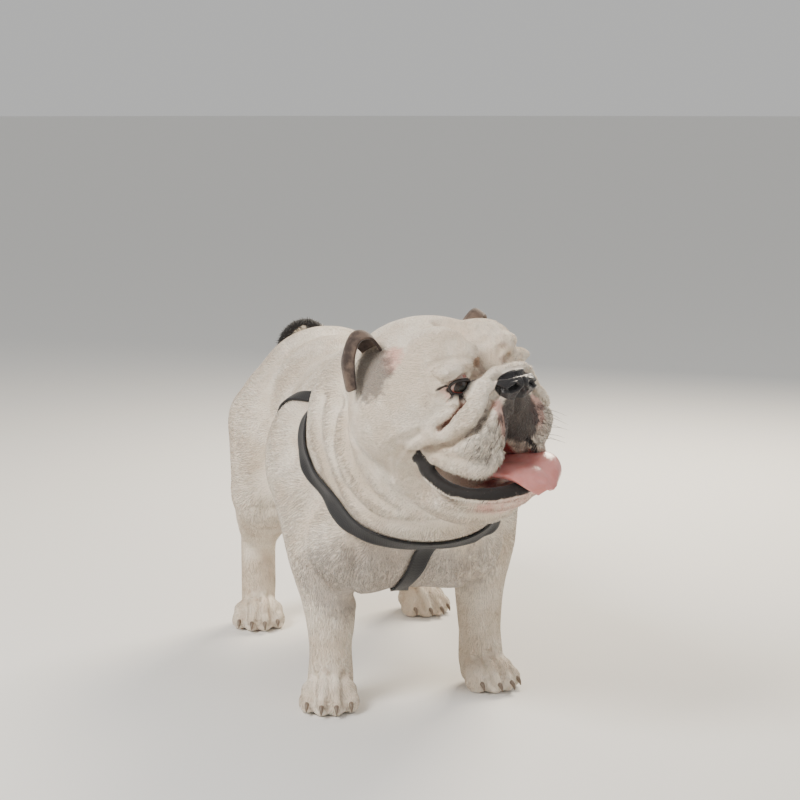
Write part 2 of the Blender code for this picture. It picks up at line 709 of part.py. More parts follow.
def grown(mesh, distance):
    """The mesh with its skin moved outward."""
    copy = mesh.copy()
    set_places(copy, mesh_array(mesh, "co") + mesh_array(mesh, "normal") * distance)
    return copy


def largest(mesh):
    """The mesh with only its largest closed surface kept."""
    return island_mesh(mesh, max(islands(mesh), key=len), mesh.name)


# Colours and finish of each piece: name start, colour, roughness

FINISHES = (
    ("eye", (0.025, 0.012, 0.008), 0.08),
    ("tongue", (0.62, 0.25, 0.24), 0.35),
    ("harness", (0.018, 0.016, 0.016), 0.75),
    ("ear", (0.20, 0.15, 0.12), 0.8),
    ("", (0.78, 0.70, 0.60), 0.85),
)


def finish_for(name):
    for start, colour, roughness in FINISHES:
        if name.startswith(start):
            return colour, roughness


def add_part(name, mesh, collection):
    mesh.name = name
    mesh.validate()
    obj = bpy.data.objects.new(name, mesh)
    collection.objects.link(obj)
    material = bpy.data.materials.new(name)
    material.use_nodes = True
    shader = material.node_tree.nodes["Principled BSDF"]
    colour, roughness = finish_for(name)
    shader.inputs["Base Color"].default_value = (*colour, 1)
    shader.inputs["Roughness"].default_value = roughness
    shader.inputs["Metallic"].default_value = 0
    mesh.materials.clear()
    mesh.materials.append(material)
    mesh.shade_smooth()
    mesh.set_sharp_from_angle(angle=math.radians(35))
    return obj


def recentre(objects):
    """Moves everything so that the middle of its footprint is at the origin."""
    points = np.concatenate([mesh_array(o.data, "co") for o in objects])
    middle = (points.min(0) + points.max(0)) / 2
    shift = Matrix.Translation((-middle[0], -middle[1], -points[:, 2].min()))
    for obj in objects:
        obj.data.transform(shift)
        obj.data.update()


def main():
    clear_scene()
    flesh = build_flesh()
    add_strokes(flesh)
    stand_on_floor(flesh, 0)
    facets = thinned(flesh, FLESH_FACES)
    stand_on_floor(facets, PAD_REACH)
    facets = with_sockets(facets)
    swollen = grown(facets, GAP)
    pieces = parted(facets)
    pieces["eye_left"], pieces["eye_right"] = eyeball(1), eyeball(-1)
    pieces["ear_left"] = largest(cut(ear(1), swollen.copy()))
    pieces["ear_right"] = largest(cut(ear(-1), swollen.copy()))
    solid_tongue = tongue()
    pieces["lower_jaw"] = largest(cut(pieces["lower_jaw"], grown(solid_tongue, GAP)))
    pieces["head"] = largest(cut(pieces["head"], grown(solid_tongue, GAP)))
    pieces["tongue"] = solid_tongue
    pieces["harness_collar"] = strap(facets, COLLAR, 60, True)
    collar = grown(pieces["harness_collar"], GAP)
    pieces["harness_girth"] = largest(cut(strap(facets, GIRTH, 60), collar))
    centre_strap = cut(strap(facets, CENTRE_STRAP, 22), collar)
    pieces["harness_centre_strap"] = largest(cut(centre_strap, grown(pieces["harness_girth"], GAP)))
    collection = bpy.data.collections.new("Bulldog")
    bpy.context.scene.collection.children.link(collection)
    objects = [add_part(name, mesh, collection) for name, mesh in pieces.items()]
    recentre(objects)
    for obj in objects:
        print(obj.name, len(obj.data.polygons), sum(len(f.vertices) - 2 for f in obj.data.polygons))
    print("triangles", sum(len(f.vertices) - 2 for o in objects for f in o.data.polygons))


main()
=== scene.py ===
# %% [markdown]
# # A bulldog in a webbing harness
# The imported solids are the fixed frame. Over them comes what a person sees: one skin in place of the nodes of
# flesh, short fur, eyes between their lids, lips, a wet tongue, thin ears, claws and the woven harness.

# %% Load the frame
import json
import math

import bmesh
import bpy
import numpy as np
from mathutils import Euler, Matrix, Vector
from mathutils.bvhtree import BVHTree

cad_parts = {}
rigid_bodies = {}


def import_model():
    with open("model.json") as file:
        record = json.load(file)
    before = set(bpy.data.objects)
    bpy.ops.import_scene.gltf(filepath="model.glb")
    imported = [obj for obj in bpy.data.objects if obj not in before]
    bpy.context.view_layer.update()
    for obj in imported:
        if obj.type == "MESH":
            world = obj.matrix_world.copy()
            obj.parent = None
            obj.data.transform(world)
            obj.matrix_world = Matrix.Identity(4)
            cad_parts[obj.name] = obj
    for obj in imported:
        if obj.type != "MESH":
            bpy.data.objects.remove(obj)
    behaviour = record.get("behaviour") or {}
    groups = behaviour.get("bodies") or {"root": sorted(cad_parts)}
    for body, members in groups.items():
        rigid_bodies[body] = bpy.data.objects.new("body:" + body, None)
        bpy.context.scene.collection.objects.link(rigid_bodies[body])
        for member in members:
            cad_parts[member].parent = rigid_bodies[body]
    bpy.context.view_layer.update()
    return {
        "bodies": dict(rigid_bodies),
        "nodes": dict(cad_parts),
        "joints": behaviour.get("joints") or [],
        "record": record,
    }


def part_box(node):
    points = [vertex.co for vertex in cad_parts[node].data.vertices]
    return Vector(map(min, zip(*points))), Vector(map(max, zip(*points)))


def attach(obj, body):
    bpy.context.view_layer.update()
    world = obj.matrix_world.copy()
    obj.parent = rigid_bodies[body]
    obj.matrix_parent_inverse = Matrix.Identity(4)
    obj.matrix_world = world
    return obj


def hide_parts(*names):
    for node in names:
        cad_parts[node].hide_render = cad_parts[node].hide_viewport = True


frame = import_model()

# %% [markdown]
# Points are written (left, forward, up), as a dog's own directions, and at() turns them into world places.
# The head has a frame of its own, turned to the dog's left. Everything is shaped before the model was centred
# on its footprint, so SHIFT, read from the eye's solid, brings each finished piece home.

# %% Frames
CHEST_HALF_WIDTH = 0.114
HEAD_YAW = math.radians(30.4)
HEAD_PITCH = math.radians(-1.2)
HEAD_ROLL = math.radians(-3.5)
MASS_VOXEL = 0.008
LIMB_VOXEL = 0.006
FORM_VOXEL = 0.003


def at(left, forward, up):
    """World place of a point given as left, forward, up."""
    return Vector((left, -forward, up))


HEAD_CENTRE = at(0.003, 0.279, 0.364)
HEAD = (
    Matrix.Translation(HEAD_CENTRE)
    @ Matrix.Rotation(HEAD_YAW, 4, "Z")
    @ Matrix.Rotation(HEAD_PITCH, 4, "X")
    @ Matrix.Rotation(HEAD_ROLL, 4, "Y")
)
BODY = Matrix.Identity(4)
TO_HEAD = HEAD.inverted()
EYE_RADIUS = 0.0125
EYE = (0.0410, 0.0740, 0.0195)


def box_middle(node):
    low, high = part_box(node)
    return (low + high) / 2


SHIFT = box_middle("eye_left") - HEAD @ at(*EYE)
HOME = Matrix.Translation(SHIFT)
print("shift", [round(v, 5) for v in SHIFT])

# %% [markdown]
# The camera stands where the photograph's did: to the dog's front right, a little above its back.

# %% Camera
CAMERA_AZIMUTH = math.radians(-15.4)
CAMERA_ELEVATION = math.radians(8.7)
CAMERA_DISTANCE = 2.31
CAMERA_TARGET = Vector((0.030, -0.05, 0.318))
LENS_MM = 90


def direction(azimuth, elevation):
    """Unit vector away from the model. Azimuth 0 is in front of the dog."""
    flat = math.cos(elevation)
    return Vector((math.sin(azimuth) * flat, -math.cos(azimuth) * flat, math.sin(elevation)))


def aim(obj, towards):
    obj.rotation_mode = "QUATERNION"
    obj.rotation_quaternion = towards.to_track_quat("-Z", "Y")


def add_camera():
    camera = bpy.data.objects.new("camera", bpy.data.cameras.new("camera"))
    bpy.context.scene.collection.objects.link(camera)
    back = direction(CAMERA_AZIMUTH, CAMERA_ELEVATION)
    camera.location = CAMERA_TARGET + SHIFT + back * CAMERA_DISTANCE
    aim(camera, -back)
    camera.data.lens = LENS_MM
    camera.data.sensor_width = 36
    bpy.context.scene.camera = camera


add_camera()
print("camera", [round(v, 3) for v in bpy.context.scene.camera.location])

# %% [markdown]
# Soft studio light: a broad key from the front left, a warm light from behind on the right that rims the coat
# as the low sun does in the photograph, and a pale world that fills the shadows.

# %% Lights and floor
# name, azimuth, elevation, distance, size, power, colour
LIGHTS = (
    ("key", -66, 44, 2.2, 0.8, 50, (1.0, 0.965, 0.92)),
    ("rim", 142, 36, 2.0, 0.8, 60, (1.0, 0.88, 0.70)),
    ("fill", 30, 18, 2.8, 1.6, 8, (0.93, 0.96, 1.0)),
)
WORLD_COLOUR = (0.90, 0.90, 0.89, 1)
WORLD_STRENGTH = 0.62
LIGHT_CENTRE = Vector((0, 0, 0.22))
FLOOR_RADIUS = 60
FLOOR_SIDES = 96
FLOOR_COLOUR = (0.80, 0.79, 0.765, 1)
FLOOR_ROUGHNESS = 0.75


def add_lights():
    for name, azimuth, elevation, distance, size, power, colour in LIGHTS:
        light = bpy.data.objects.new(name, bpy.data.lights.new(name, "AREA"))
        bpy.context.scene.collection.objects.link(light)
        back = direction(math.radians(azimuth), math.radians(elevation))
        light.location = LIGHT_CENTRE + back * distance
        aim(light, -back)
        light.data.size = size
        light.data.energy = power
        light.data.color = colour


def add_world():
    world = bpy.data.worlds.new("studio")
    bpy.context.scene.world = world
    world.use_nodes = True
    background = world.node_tree.nodes["Background"]
    background.inputs["Color"].default_value = WORLD_COLOUR
    background.inputs["Strength"].default_value = WORLD_STRENGTH


def add_floor():
    mesh = bpy.data.meshes.new("floor")
    bm = bmesh.new()
    bmesh.ops.create_circle(bm, cap_ends=True, segments=FLOOR_SIDES, radius=FLOOR_RADIUS)
    bm.to_mesh(mesh)
    bm.free()
    floor = bpy.data.objects.new("floor", mesh)
    bpy.context.scene.collection.objects.link(floor)
    material = bpy.data.materials.new("floor")
    material.use_nodes = True
    shader = material.node_tree.nodes["Principled BSDF"]
    shader.inputs["Base Color"].default_value = FLOOR_COLOUR
    shader.inputs["Roughness"].default_value = FLOOR_ROUGHNESS
    mesh.materials.append(material)


add_lights()
add_world()
add_floor()
print("lights", len(LIGHTS))

# %% [markdown]
# The flesh is shaped again as in the solids, only finer. A dog has no flat face and no straight edge, so it
# could be sculpted by hand. Here closed forms are gathered like clay and fused by a voxel remesh, three times
# over, because every form then keeps numbers that can be read and changed.

# %% Clay
def mirrored(points):
    """The same points on the dog's other side."""
    return tuple((-left, forward, up) for left, forward, up in points)


def new_object(name, mesh):
    obj = bpy.data.objects.new(name, mesh)
    bpy.context.scene.collection.objects.link(obj)
    return obj


def baked(obj):
    """The object's mesh with its modifiers applied, in world places. The object is removed."""
    graph = bpy.context.evaluated_depsgraph_get()
    graph.update()
    evaluated = obj.evaluated_get(graph)
    mesh = bpy.data.meshes.new_from_object(evaluated)
    mesh.transform(evaluated.matrix_world)
    bpy.data.objects.remove(obj)
    return mesh


def unit_ball(segments=24, rings=14):
    """The ball that every ellipsoid is a stretched copy of."""
    bm = bmesh.new()
    bmesh.ops.create_uvsphere(bm, u_segments=segments, v_segments=rings, radius=1)
    mesh = bpy.data.meshes.new("ball")
    bm.to_mesh(mesh)
    bm.free()
    return mesh


def tube_mesh(places, radii, sides=4):
    """A closed round tube that passes smoothly through the places."""
    curve = bpy.data.curves.new("tube", "CURVE")
    curve.dimensions = "3D"
    curve.bevel_depth = 1.0
    curve.bevel_resolution = sides
    curve.resolution_u = 6
    curve.use_fill_caps = True
    spline = curve.splines.new("BEZIER")
    spline.bezier_points.add(len(places) - 1)
    for point, place, radius in zip(spline.bezier_points, places, radii):
        point.co = place
        point.radius = radius
        point.handle_left_type = point.handle_right_type = "AUTO"
    mesh = baked(new_object("tube", curve))
    weld = bmesh.new()
    weld.from_mesh(mesh)
    bmesh.ops.remove_doubles(weld, verts=weld.verts, dist=1e-5)
    bmesh.ops.recalc_face_normals(weld, faces=weld.faces)
    weld.to_mesh(mesh)
    weld.free()
    return mesh


class Clay:
    """Closed shapes gathered together, to be fused into one body of flesh."""

    def __init__(self, base=None):
        self.frame = BODY
        self.ball_mesh = unit_ball()
        self.shapes = bmesh.new()
        if base:
            self.shapes.from_mesh(base)

    def add(self, mesh, place=BODY):
        copy = mesh.copy()
        copy.transform(place)
        self.shapes.from_mesh(copy)
        bpy.data.meshes.remove(copy)

    def ball(self, centre, radii, turn=(0, 0, 0)):
        """An ellipsoid. turn is in degrees about the left, backward and up axes."""
        rotation = Euler([math.radians(a) for a in turn]).to_matrix().to_4x4()
        size = Matrix.Diagonal((*radii, 1))
        self.add(self.ball_mesh, self.frame @ Matrix.Translation(at(*centre)) @ rotation @ size)

    def pair(self, centre, radii, turn=(0, 0, 0)):
        """The same ellipsoid on the left and the right side."""
        left, forward, up = centre
        self.ball(centre, radii, turn)
        self.ball((-left, forward, up), radii, (turn[0], -turn[1], -turn[2]))

    def tube(self, points, radii):
        """A round limb or roll through the points, with rounded ends."""
        self.add(tube_mesh([self.frame @ at(*p) for p in points], radii))
        for point, radius in ((points[0], radii[0]), (points[-1], radii[-1])):
            self.ball(point, (radius, radius, radius))

    def tube_pair(self, points, radii):
        self.tube(points, radii)
        self.tube(mirrored(points), radii)

    def fuse(self, name, voxel, smooth_steps):
        """One closed mesh of everything gathered, its junctions softened."""
        gathered = bpy.data.meshes.new(name)
        self.shapes.to_mesh(gathered)
        self.shapes.free()
        obj = new_object(name, gathered)
        remesh = obj.modifiers.new("Fuse", "REMESH")
        remesh.mode = "VOXEL"
        remesh.voxel_size = voxel
        soften = obj.modifiers.new("Soften", "SMOOTH")
        soften.factor = 0.5
        soften.iterations = smooth_steps
        return baked(obj)


# %% [markdown]
# First the large masses: a deep chest, a narrower loin, a wide neck and a broad, short skull. A few large
# ellipsoids and round tubes are fused with a coarse voxel and softened well, so that they flow together.

# %% Masses
FRONT_LEGS = {
    "right": ((-0.095, 0.128, 0.235), (-0.087, 0.140, 0.165), (-0.079, 0.151, 0.110),
              (-0.080, 0.160, 0.062), (-0.082, 0.168, 0.028)),
    "left": ((0.110, 0.106, 0.235), (0.110, 0.112, 0.165), (0.105, 0.120, 0.110),
             (0.103, 0.128, 0.062), (0.103, 0.134, 0.028)),
}
FRONT_LEG_RADII = {
    "right": (0.043, 0.038, 0.0315, 0.0250, 0.0275),
    "left": (0.048, 0.041, 0.0300, 0.0255, 0.0275),
}
HIND_LEGS = {
    "right": ((-0.076, -0.150, 0.265), (-0.089, -0.120, 0.185),
              (-0.086, -0.212, 0.105), (-0.089, -0.200, 0.028)),
    "left": ((0.080, -0.150, 0.265), (0.102, -0.120, 0.185),
             (0.116, -0.220, 0.105), (0.122, -0.210, 0.028)),
}
FRONT_PAWS = {"right": ((-0.087, 0.182), -14), "left": ((0.105, 0.148), 16)}
HIND_PAWS = {"right": ((-0.093, -0.180), -12), "left": ((0.124, -0.190), 14)}
TOES = ((-0.0235, 0.013), (-0.0080, 0.025), (0.0080, 0.025), (0.0235, 0.013))


def paw_frame(place, heading):
    """Frame of a paw: its origin on the floor under the wrist, turned out by heading degrees."""
    left, forward = place
    return Matrix.Translation(at(left, forward, 0)) @ Matrix.Rotation(math.radians(heading), 4, "Z")


# The roll of skin behind the head, from the top of the neck down its right side, and the fold over the collar
NECK_ROLL = ((0.030, 0.160, 0.372), (-0.010, 0.162, 0.378), (-0.040, 0.163, 0.373), (-0.068, 0.164, 0.335),
             (-0.079, 0.168, 0.298), (-0.079, 0.178, 0.268))
THROAT_FOLD = ((-0.088, 0.172, 0.285), (-0.078, 0.191, 0.262), (-0.059, 0.216, 0.242), (-0.030, 0.236, 0.228),
               (0.010, 0.244, 0.223), (0.048, 0.236, 0.226), (0.080, 0.208, 0.238), (0.098, 0.176, 0.260),
               (0.104, 0.150, 0.285))


def build_trunk():
    clay = Clay()
    clay.ball((0.004, 0.045, 0.258), (CHEST_HALF_WIDTH, 0.150, 0.128))
    clay.ball((0.008, 0.150, 0.226), (0.106, 0.096, 0.104))
    clay.ball((0.002, 0.070, 0.316), (0.090, 0.120, 0.072))
    clay.ball((0.002, -0.045, 0.250), (0.094, 0.160, 0.104), (-6, 0, 0))
    clay.ball((0, -0.080, 0.294), (0.094, 0.150, 0.088))
    clay.ball((0, -0.180, 0.288), (0.098, 0.098, 0.094))
    clay.ball((0.096, 0.092, 0.245), (0.054, 0.082, 0.104), (8, 0, 0))
    clay.ball((-0.090, 0.094, 0.262), (0.050, 0.064, 0.078), (8, 0, 0))
    clay.pair((0.050, 0.182, 0.184), (0.064, 0.058, 0.060))
    clay.ball((0, 0.180, 0.320), (0.112, 0.080, 0.100))
    clay.ball((0, 0.222, 0.300), (0.100, 0.082, 0.102))
    clay.ball((0.006, 0.238, 0.242), (0.088, 0.062, 0.054))
    clay.pair((0.074, -0.162, 0.229), (0.056, 0.094, 0.108), (-14, 0, 0))
    return clay.fuse("trunk", MASS_VOXEL, 16)


def build_masses():
    clay = Clay(build_trunk())
    clay.tube(NECK_ROLL, (0.033, 0.034, 0.034, 0.034, 0.030, 0.024))
    clay.tube(THROAT_FOLD, (0.018, 0.019, 0.019, 0.020, 0.020, 0.020, 0.019, 0.019, 0.018))
    for side in ("left", "right"):
        clay.tube(FRONT_LEGS[side], FRONT_LEG_RADII[side])
        hip, knee, hock, paw = HIND_LEGS[side]
        shin = ((knee[0] + hock[0]) / 2, -0.172, 0.146)
        clay.tube((hip, knee), (0.060, 0.050))
        clay.tube((knee, shin, hock), (0.047, 0.037, 0.0235))
        clay.tube((hock, paw), (0.0235, 0.0235))
    clay.frame = HEAD
    clay.ball((0, -0.010, 0.010), (0.087, 0.086, 0.067))
    clay.pair((0.056, 0.000, -0.018), (0.039, 0.062, 0.056))
    clay.pair((0.030, 0.040, 0.038), (0.040, 0.040, 0.036))
    clay.ball((0, 0.050, 0.000), (0.076, 0.040, 0.052))
    clay.ball((0, 0.000, -0.072), (0.070, 0.058, 0.046))
    clay.ball((0, 0.036, -0.104), (0.057, 0.062, 0.031), (12, 0, 0))
    return clay.fuse("masses", LIMB_VOXEL, 8)


# %% [markdown]
# Then the smaller forms: the roll over the nose, the hanging flews, the lower lip, the brows, the tail and
# the toes. They are fused onto the masses with a fine voxel and softened little, so that they stay distinct.

# %% Forms
NOSE_ROLL = ((0, 0.103, 0.027), (0.022, 0.102, 0.022), (0.038, 0.099, 0.006), (0.044, 0.096, -0.009),
             (0.053, 0.088, -0.0225), (0.066, 0.060, -0.0335), (0.077, 0.032, -0.038))
FLEW_EDGE = ((0.058, 0.036, -0.043), (0.065, 0.060, -0.053), (0.060, 0.086, -0.062), (0.043, 0.104, -0.0665),
             (0.030, 0.112, -0.054))
LOWER_LIP = ((0.060, 0.034, -0.045), (0.066, 0.050, -0.070), (0.060, 0.080, -0.088),
             (0.037, 0.109, -0.093), (0, 0.121, -0.091))
TAIL = ((0.010, -0.250, 0.333), (0.010, -0.269, 0.354), (0.002, -0.276, 0.366),
        (-0.014, -0.276, 0.369), (-0.032, -0.270, 0.361), (-0.044, -0.262, 0.347))


def add_muzzle(clay):
    clay.ball((0, 0.078, 0.000), (0.056, 0.040, 0.038))
    clay.ball((0, 0.084, 0.014), (0.040, 0.022, 0.020))
    clay.pair((0.035, 0.086, -0.026), (0.035, 0.036, 0.042), (0, 0, 10))
    clay.pair((0.053, 0.064, -0.032), (0.021, 0.036, 0.030))
    clay.tube_pair(FLEW_EDGE, (0.007, 0.008, 0.0085, 0.0085, 0.0080))
    clay.ball((0, 0.109, 0.015), (0.028, 0.019, 0.0130))
    clay.pair((0.019, 0.111, 0.013), (0.011, 0.013, 0.010))
    clay.tube_pair(NOSE_ROLL, (0.010, 0.0105, 0.011, 0.0115, 0.012, 0.012, 0.010))


def add_jaw(clay):
    clay.ball((0, 0.056, -0.104), (0.056, 0.060, 0.018))
    clay.ball((0, 0.098, -0.098), (0.038, 0.026, 0.011))
    lip = LOWER_LIP + mirrored(LOWER_LIP[-2::-1])
    clay.tube(lip, (0.007, 0.0085, 0.0085, 0.009, 0.0095, 0.009, 0.0085, 0.0085, 0.007))


def add_brows(clay):
    clay.pair((0.044, 0.064, 0.036), (0.027, 0.018, 0.010), (0, 10, -30))
    clay.pair((0.029, 0.062, 0.042), (0.022, 0.027, 0.021))


def add_paw(clay, place, heading):
    clay.frame = paw_frame(place, heading)
    clay.ball((0, 0.000, 0.018), (0.0290, 0.034, 0.0215))
    for left, forward in TOES:
        clay.ball((left, forward, 0.0105), (0.0104, 0.0170, 0.0135))
        clay.ball((left * 0.92, forward - 0.010, 0.0210), (0.0095, 0.0130, 0.0105))
    clay.frame = BODY


def build_flesh():
    clay = Clay(build_masses())
    clay.frame = HEAD
    add_muzzle(clay)
    add_jaw(clay)
    add_brows(clay)
    clay.frame = BODY
    clay.tube(TAIL, (0.018, 0.014, 0.0115, 0.0100, 0.0085, 0.0060))
    for paws in (FRONT_PAWS, HIND_PAWS):
        for place, heading in paws.values():
            add_paw(clay, place, heading)
    return clay.fuse("flesh", FORM_VOXEL, 3)


flesh = build_flesh()
print("flesh faces", len(flesh.polygons))

# %% [markdown]
# Loose skin lies in folds. They could be more clay, but a crease is sharper than any gap between two forms.
# So folds are raised and creases pressed by strokes: each is a path laid on the skin, and the skin near it
# moves along its normals.

# %% Strokes
def mesh_array(mesh, attribute):
    values = np.empty(len(mesh.vertices) * 3, np.float32)
    mesh.vertices.foreach_get(attribute, values)
    return values.reshape(-1, 3).astype(float)


def set_places(mesh, points):
    mesh.vertices.foreach_set("co", points.astype(np.float32).ravel())
    mesh.update()


def surface_tree(mesh):
    return BVHTree.FromPolygons([v.co for v in mesh.vertices], [p.vertices for p in mesh.polygons])


def resampled(places, step):
    """The broken line with a point about every step."""
    line = []
    for start, end in zip(places[:-1], places[1:]):
        count = max(1, round((end - start).length / step))
        line += [start.lerp(end, i / count) for i in range(count)]
    return line + [places[-1]]


def path_distance(points, path):
    """Distance of each point from the broken line."""
    nearest = np.full(len(points), np.inf)
    for start, end in zip(path[:-1], path[1:]):
        step = end - start
        along = np.clip((points - start) @ step / max(step @ step, 1e-12), 0, 1)
        gap = np.linalg.norm(points - start - along[:, None] * step, axis=1)
        nearest = np.minimum(nearest, gap)
    return nearest


def stroke(mesh, tree, frame, path, width, height):
    """Moves the skin near the path along its normals, most on the path and none at its width."""
    line = resampled([frame @ at(*p) for p in path], 0.004)
    laid = np.array([tree.find_nearest(p)[0] for p in line])
    points = mesh_array(mesh, "co")
    near = np.where(((points > laid.min(0) - width) & (points < laid.max(0) + width)).all(1))[0]
    share = np.clip(1 - path_distance(points[near], laid) / width, 0, 1)
    points[near] += mesh_array(mesh, "normal")[near] * (height * share * share * (3 - 2 * share))[:, None]
    set_places(mesh, points)


def run_strokes(mesh, strokes):
    """Each stroke is frame, path, width, height, and whether its mirror image is made too."""
    tree = surface_tree(mesh)
    for frame_of, path, width, height, both in strokes:
        stroke(mesh, tree, frame_of, path, width, height)
        if both:
            stroke(mesh, tree, frame_of, mirrored(path), width, height)


EASED_SHARE = 0.97


def refined(mesh, centres, reach):
    """The mesh with every edge near the centres cut in two, and the new faces eased."""
    points = mesh_array(mesh, "co")
    near = np.zeros(len(points), bool)
    for centre in centres:
        near |= np.linalg.norm(points - np.array(centre), axis=1) < reach
    bm = bmesh.new()
    bm.from_mesh(mesh)
    bm.verts.ensure_lookup_table()
    edges = [e for e in bm.edges if near[e.verts[0].index] and near[e.verts[1].index]]
    bmesh.ops.subdivide_edges(bm, edges=edges, cuts=1, use_grid_fill=True)
    bm.to_mesh(mesh)
    bm.free()
    obj = new_object("refined", mesh)
    group = obj.vertex_groups.new(name="near")
    points = mesh_array(mesh, "co")
    inside = np.zeros(len(points), bool)
    for centre in centres:
        inside |= np.linalg.norm(points - np.array(centre), axis=1) < reach * EASED_SHARE
    group.add([int(i) for i in np.where(inside)[0]], 1.0, "REPLACE")
    ease = obj.modifiers.new("Ease", "SMOOTH")
    ease.factor = 0.5
    ease.iterations = 3
    ease.vertex_group = "near"
    return baked(obj)


# %% [markdown]
# The broad folds come first. On the head they part the cheek from the roll over the nose, and the roll from
# the lip. On the body they are the loose throat, the arm pits, the flanks and the groove for the harness.
# The face is then divided finer, most of all around the eyes and on the nose.

# %% Folds of the head and the body
BROAD_STROKES = (
    # between the cheek and the roll over the nose
    (HEAD, ((0, 0.090, 0.040), (0.022, 0.090, 0.034), (0.038, 0.090, 0.020), (0.044, 0.090, 0.006),
            (0.048, 0.088, -0.008), (0.056, 0.080, -0.0166), (0.066, 0.068, -0.023)), 0.008, -0.008, True),
    # between the roll and the upper lip
    (HEAD, ((0.028, 0.113, 0.012), (0.038, 0.106, -0.008), (0.047, 0.098, -0.024),
            (0.060, 0.080, -0.037), (0.068, 0.056, -0.042)), 0.008, -0.007, True),
    # brow folds
    (HEAD, ((0.010, 0.088, 0.045), (0.020, 0.082, 0.062), (0.038, 0.060, 0.072)), 0.009, -0.0012, True),
    (HEAD, ((0.022, 0.090, 0.050), (0.032, 0.084, 0.056), (0.044, 0.074, 0.054)), 0.012, 0.0028, False),
    (HEAD, ((0.062, 0.070, 0.020), (0.055, 0.080, 0.029), (0.045, 0.087, 0.032), (0.033, 0.090, 0.026)),
     0.006, 0.0022, True),
    (HEAD, ((0.062, 0.070, 0.020), (0.055, 0.080, 0.015), (0.045, 0.086, 0.013), (0.033, 0.090, 0.024)),
     0.006, 0.0018, True),
    # the furrow down the forehead and the one below the nose
    (HEAD, ((0, 0.090, 0.036), (0, 0.088, 0.050), (0, 0.078, 0.066), (0, 0.056, 0.078), (0, 0.020, 0.080)),
     0.018, -0.011, False),
    (HEAD, ((0, 0.128, 0.006), (0, 0.126, -0.010), (0, 0.125, -0.030), (0, 0.120, -0.042)),
     0.007, -0.006, False),
    # under the throat
    (BODY, ((-0.104, 0.235, 0.350), (-0.108, 0.235, 0.300), (-0.095, 0.245, 0.255), (-0.050, 0.280, 0.225),
            (0.010, 0.300, 0.215), (0.070, 0.280, 0.225), (0.104, 0.240, 0.260)), 0.016, -0.006, False),
    (BODY, ((-0.108, 0.205, 0.350), (-0.112, 0.205, 0.300), (-0.104, 0.215, 0.250)), 0.016, -0.004, False),
    # the groove behind the neck, where the harness lies
    (BODY, ((0, 0.112, 0.410), (-0.050, 0.114, 0.400), (-0.088, 0.120, 0.362), (-0.112, 0.126, 0.318),
            (-0.122, 0.136, 0.285)), 0.034, -0.012, False),
    (BODY, ((0, 0.112, 0.410), (0.050, 0.114, 0.400), (0.088, 0.120, 0.362), (0.112, 0.120, 0.318),
            (0.126, 0.130, 0.285)), 0.034, -0.012, False),
)
BODY_STROKES = (
    # loose folds down the side of the neck
    (BODY, ((-0.078, 0.252, 0.345), (-0.080, 0.256, 0.300), (-0.066, 0.268, 0.262), (-0.040, 0.282, 0.240)),
     0.010, -0.0035, False),
    (BODY, ((-0.092, 0.236, 0.335), (-0.094, 0.240, 0.295), (-0.080, 0.252, 0.256), (-0.050, 0.270, 0.232)),
     0.012, 0.0035, False),
    (BODY, ((-0.062, 0.262, 0.330), (-0.064, 0.266, 0.295), (-0.052, 0.276, 0.262)), 0.009, 0.0025, False),
    # the breast, the arm pits and the folds behind the elbows
    (BODY, ((0.006, 0.255, 0.190), (0.004, 0.240, 0.150), (0.002, 0.200, 0.122)), 0.020, -0.0025, False),
    (BODY, ((0.060, 0.215, 0.200), (0.062, 0.190, 0.150), (0.068, 0.150, 0.128)), 0.014, -0.0040, True),
    (BODY, ((0.118, 0.070, 0.230), (0.116, 0.062, 0.190), (0.098, 0.064, 0.150)), 0.014, -0.0040, True),
    (BODY, ((0.122, 0.050, 0.260), (0.120, 0.034, 0.210), (0.104, 0.030, 0.160)), 0.018, 0.0020, True),
    # flank and thigh
    (BODY, ((0.104, -0.072, 0.270), (0.108, -0.076, 0.220), (0.098, -0.084, 0.175)), 0.020, -0.0045, True),
    (BODY, ((0.020, -0.262, 0.300), (0.018, -0.256, 0.250), (0.016, -0.236, 0.200)), 0.020, -0.0040, True),
    # the line of the back
    (BODY, ((0, 0.060, 0.395), (0, -0.040, 0.400), (0, -0.140, 0.390)), 0.022, -0.0020, False),
)


def toe_strokes():
    """The creases between the toes of every paw."""
    strokes = []
    for paws in (FRONT_PAWS, HIND_PAWS):
        for place, heading in paws.values():
            paw = paw_frame(place, heading)
            for (left, forward), (right, ahead) in zip(TOES[:-1], TOES[1:]):
                middle, reach = (left + right) / 2, (forward + ahead) / 2
                path = ((middle * 0.8, reach - 0.020, 0.036), (middle, reach + 0.004, 0.026),
                        (middle, reach + 0.018, 0.008))
                strokes.append((paw, path, 0.0065, -0.0028, False))
    return strokes


run_strokes(flesh, BROAD_STROKES + BODY_STROKES + tuple(toe_strokes()))
face_middle = HEAD @ at(0, 0.072, -0.015)
flesh = refined(flesh, [face_middle], 0.125)
EYES = [HEAD @ at(side * EYE[0], EYE[1], EYE[2]) for side in (1, -1)]
NOSE = HEAD @ at(0, 0.118, 0.008)
flesh = refined(flesh, EYES, 0.027)
flesh = refined(flesh, [NOSE], 0.034)
print("flesh faces", len(flesh.polygons))

# %% [markdown]
# Finer strokes give the face its age: creases under the eyes, wrinkles of the brow, dimples of the lip and
# the rim of each nostril. They need the finer faces, because a stroke narrower than a face leaves no mark.

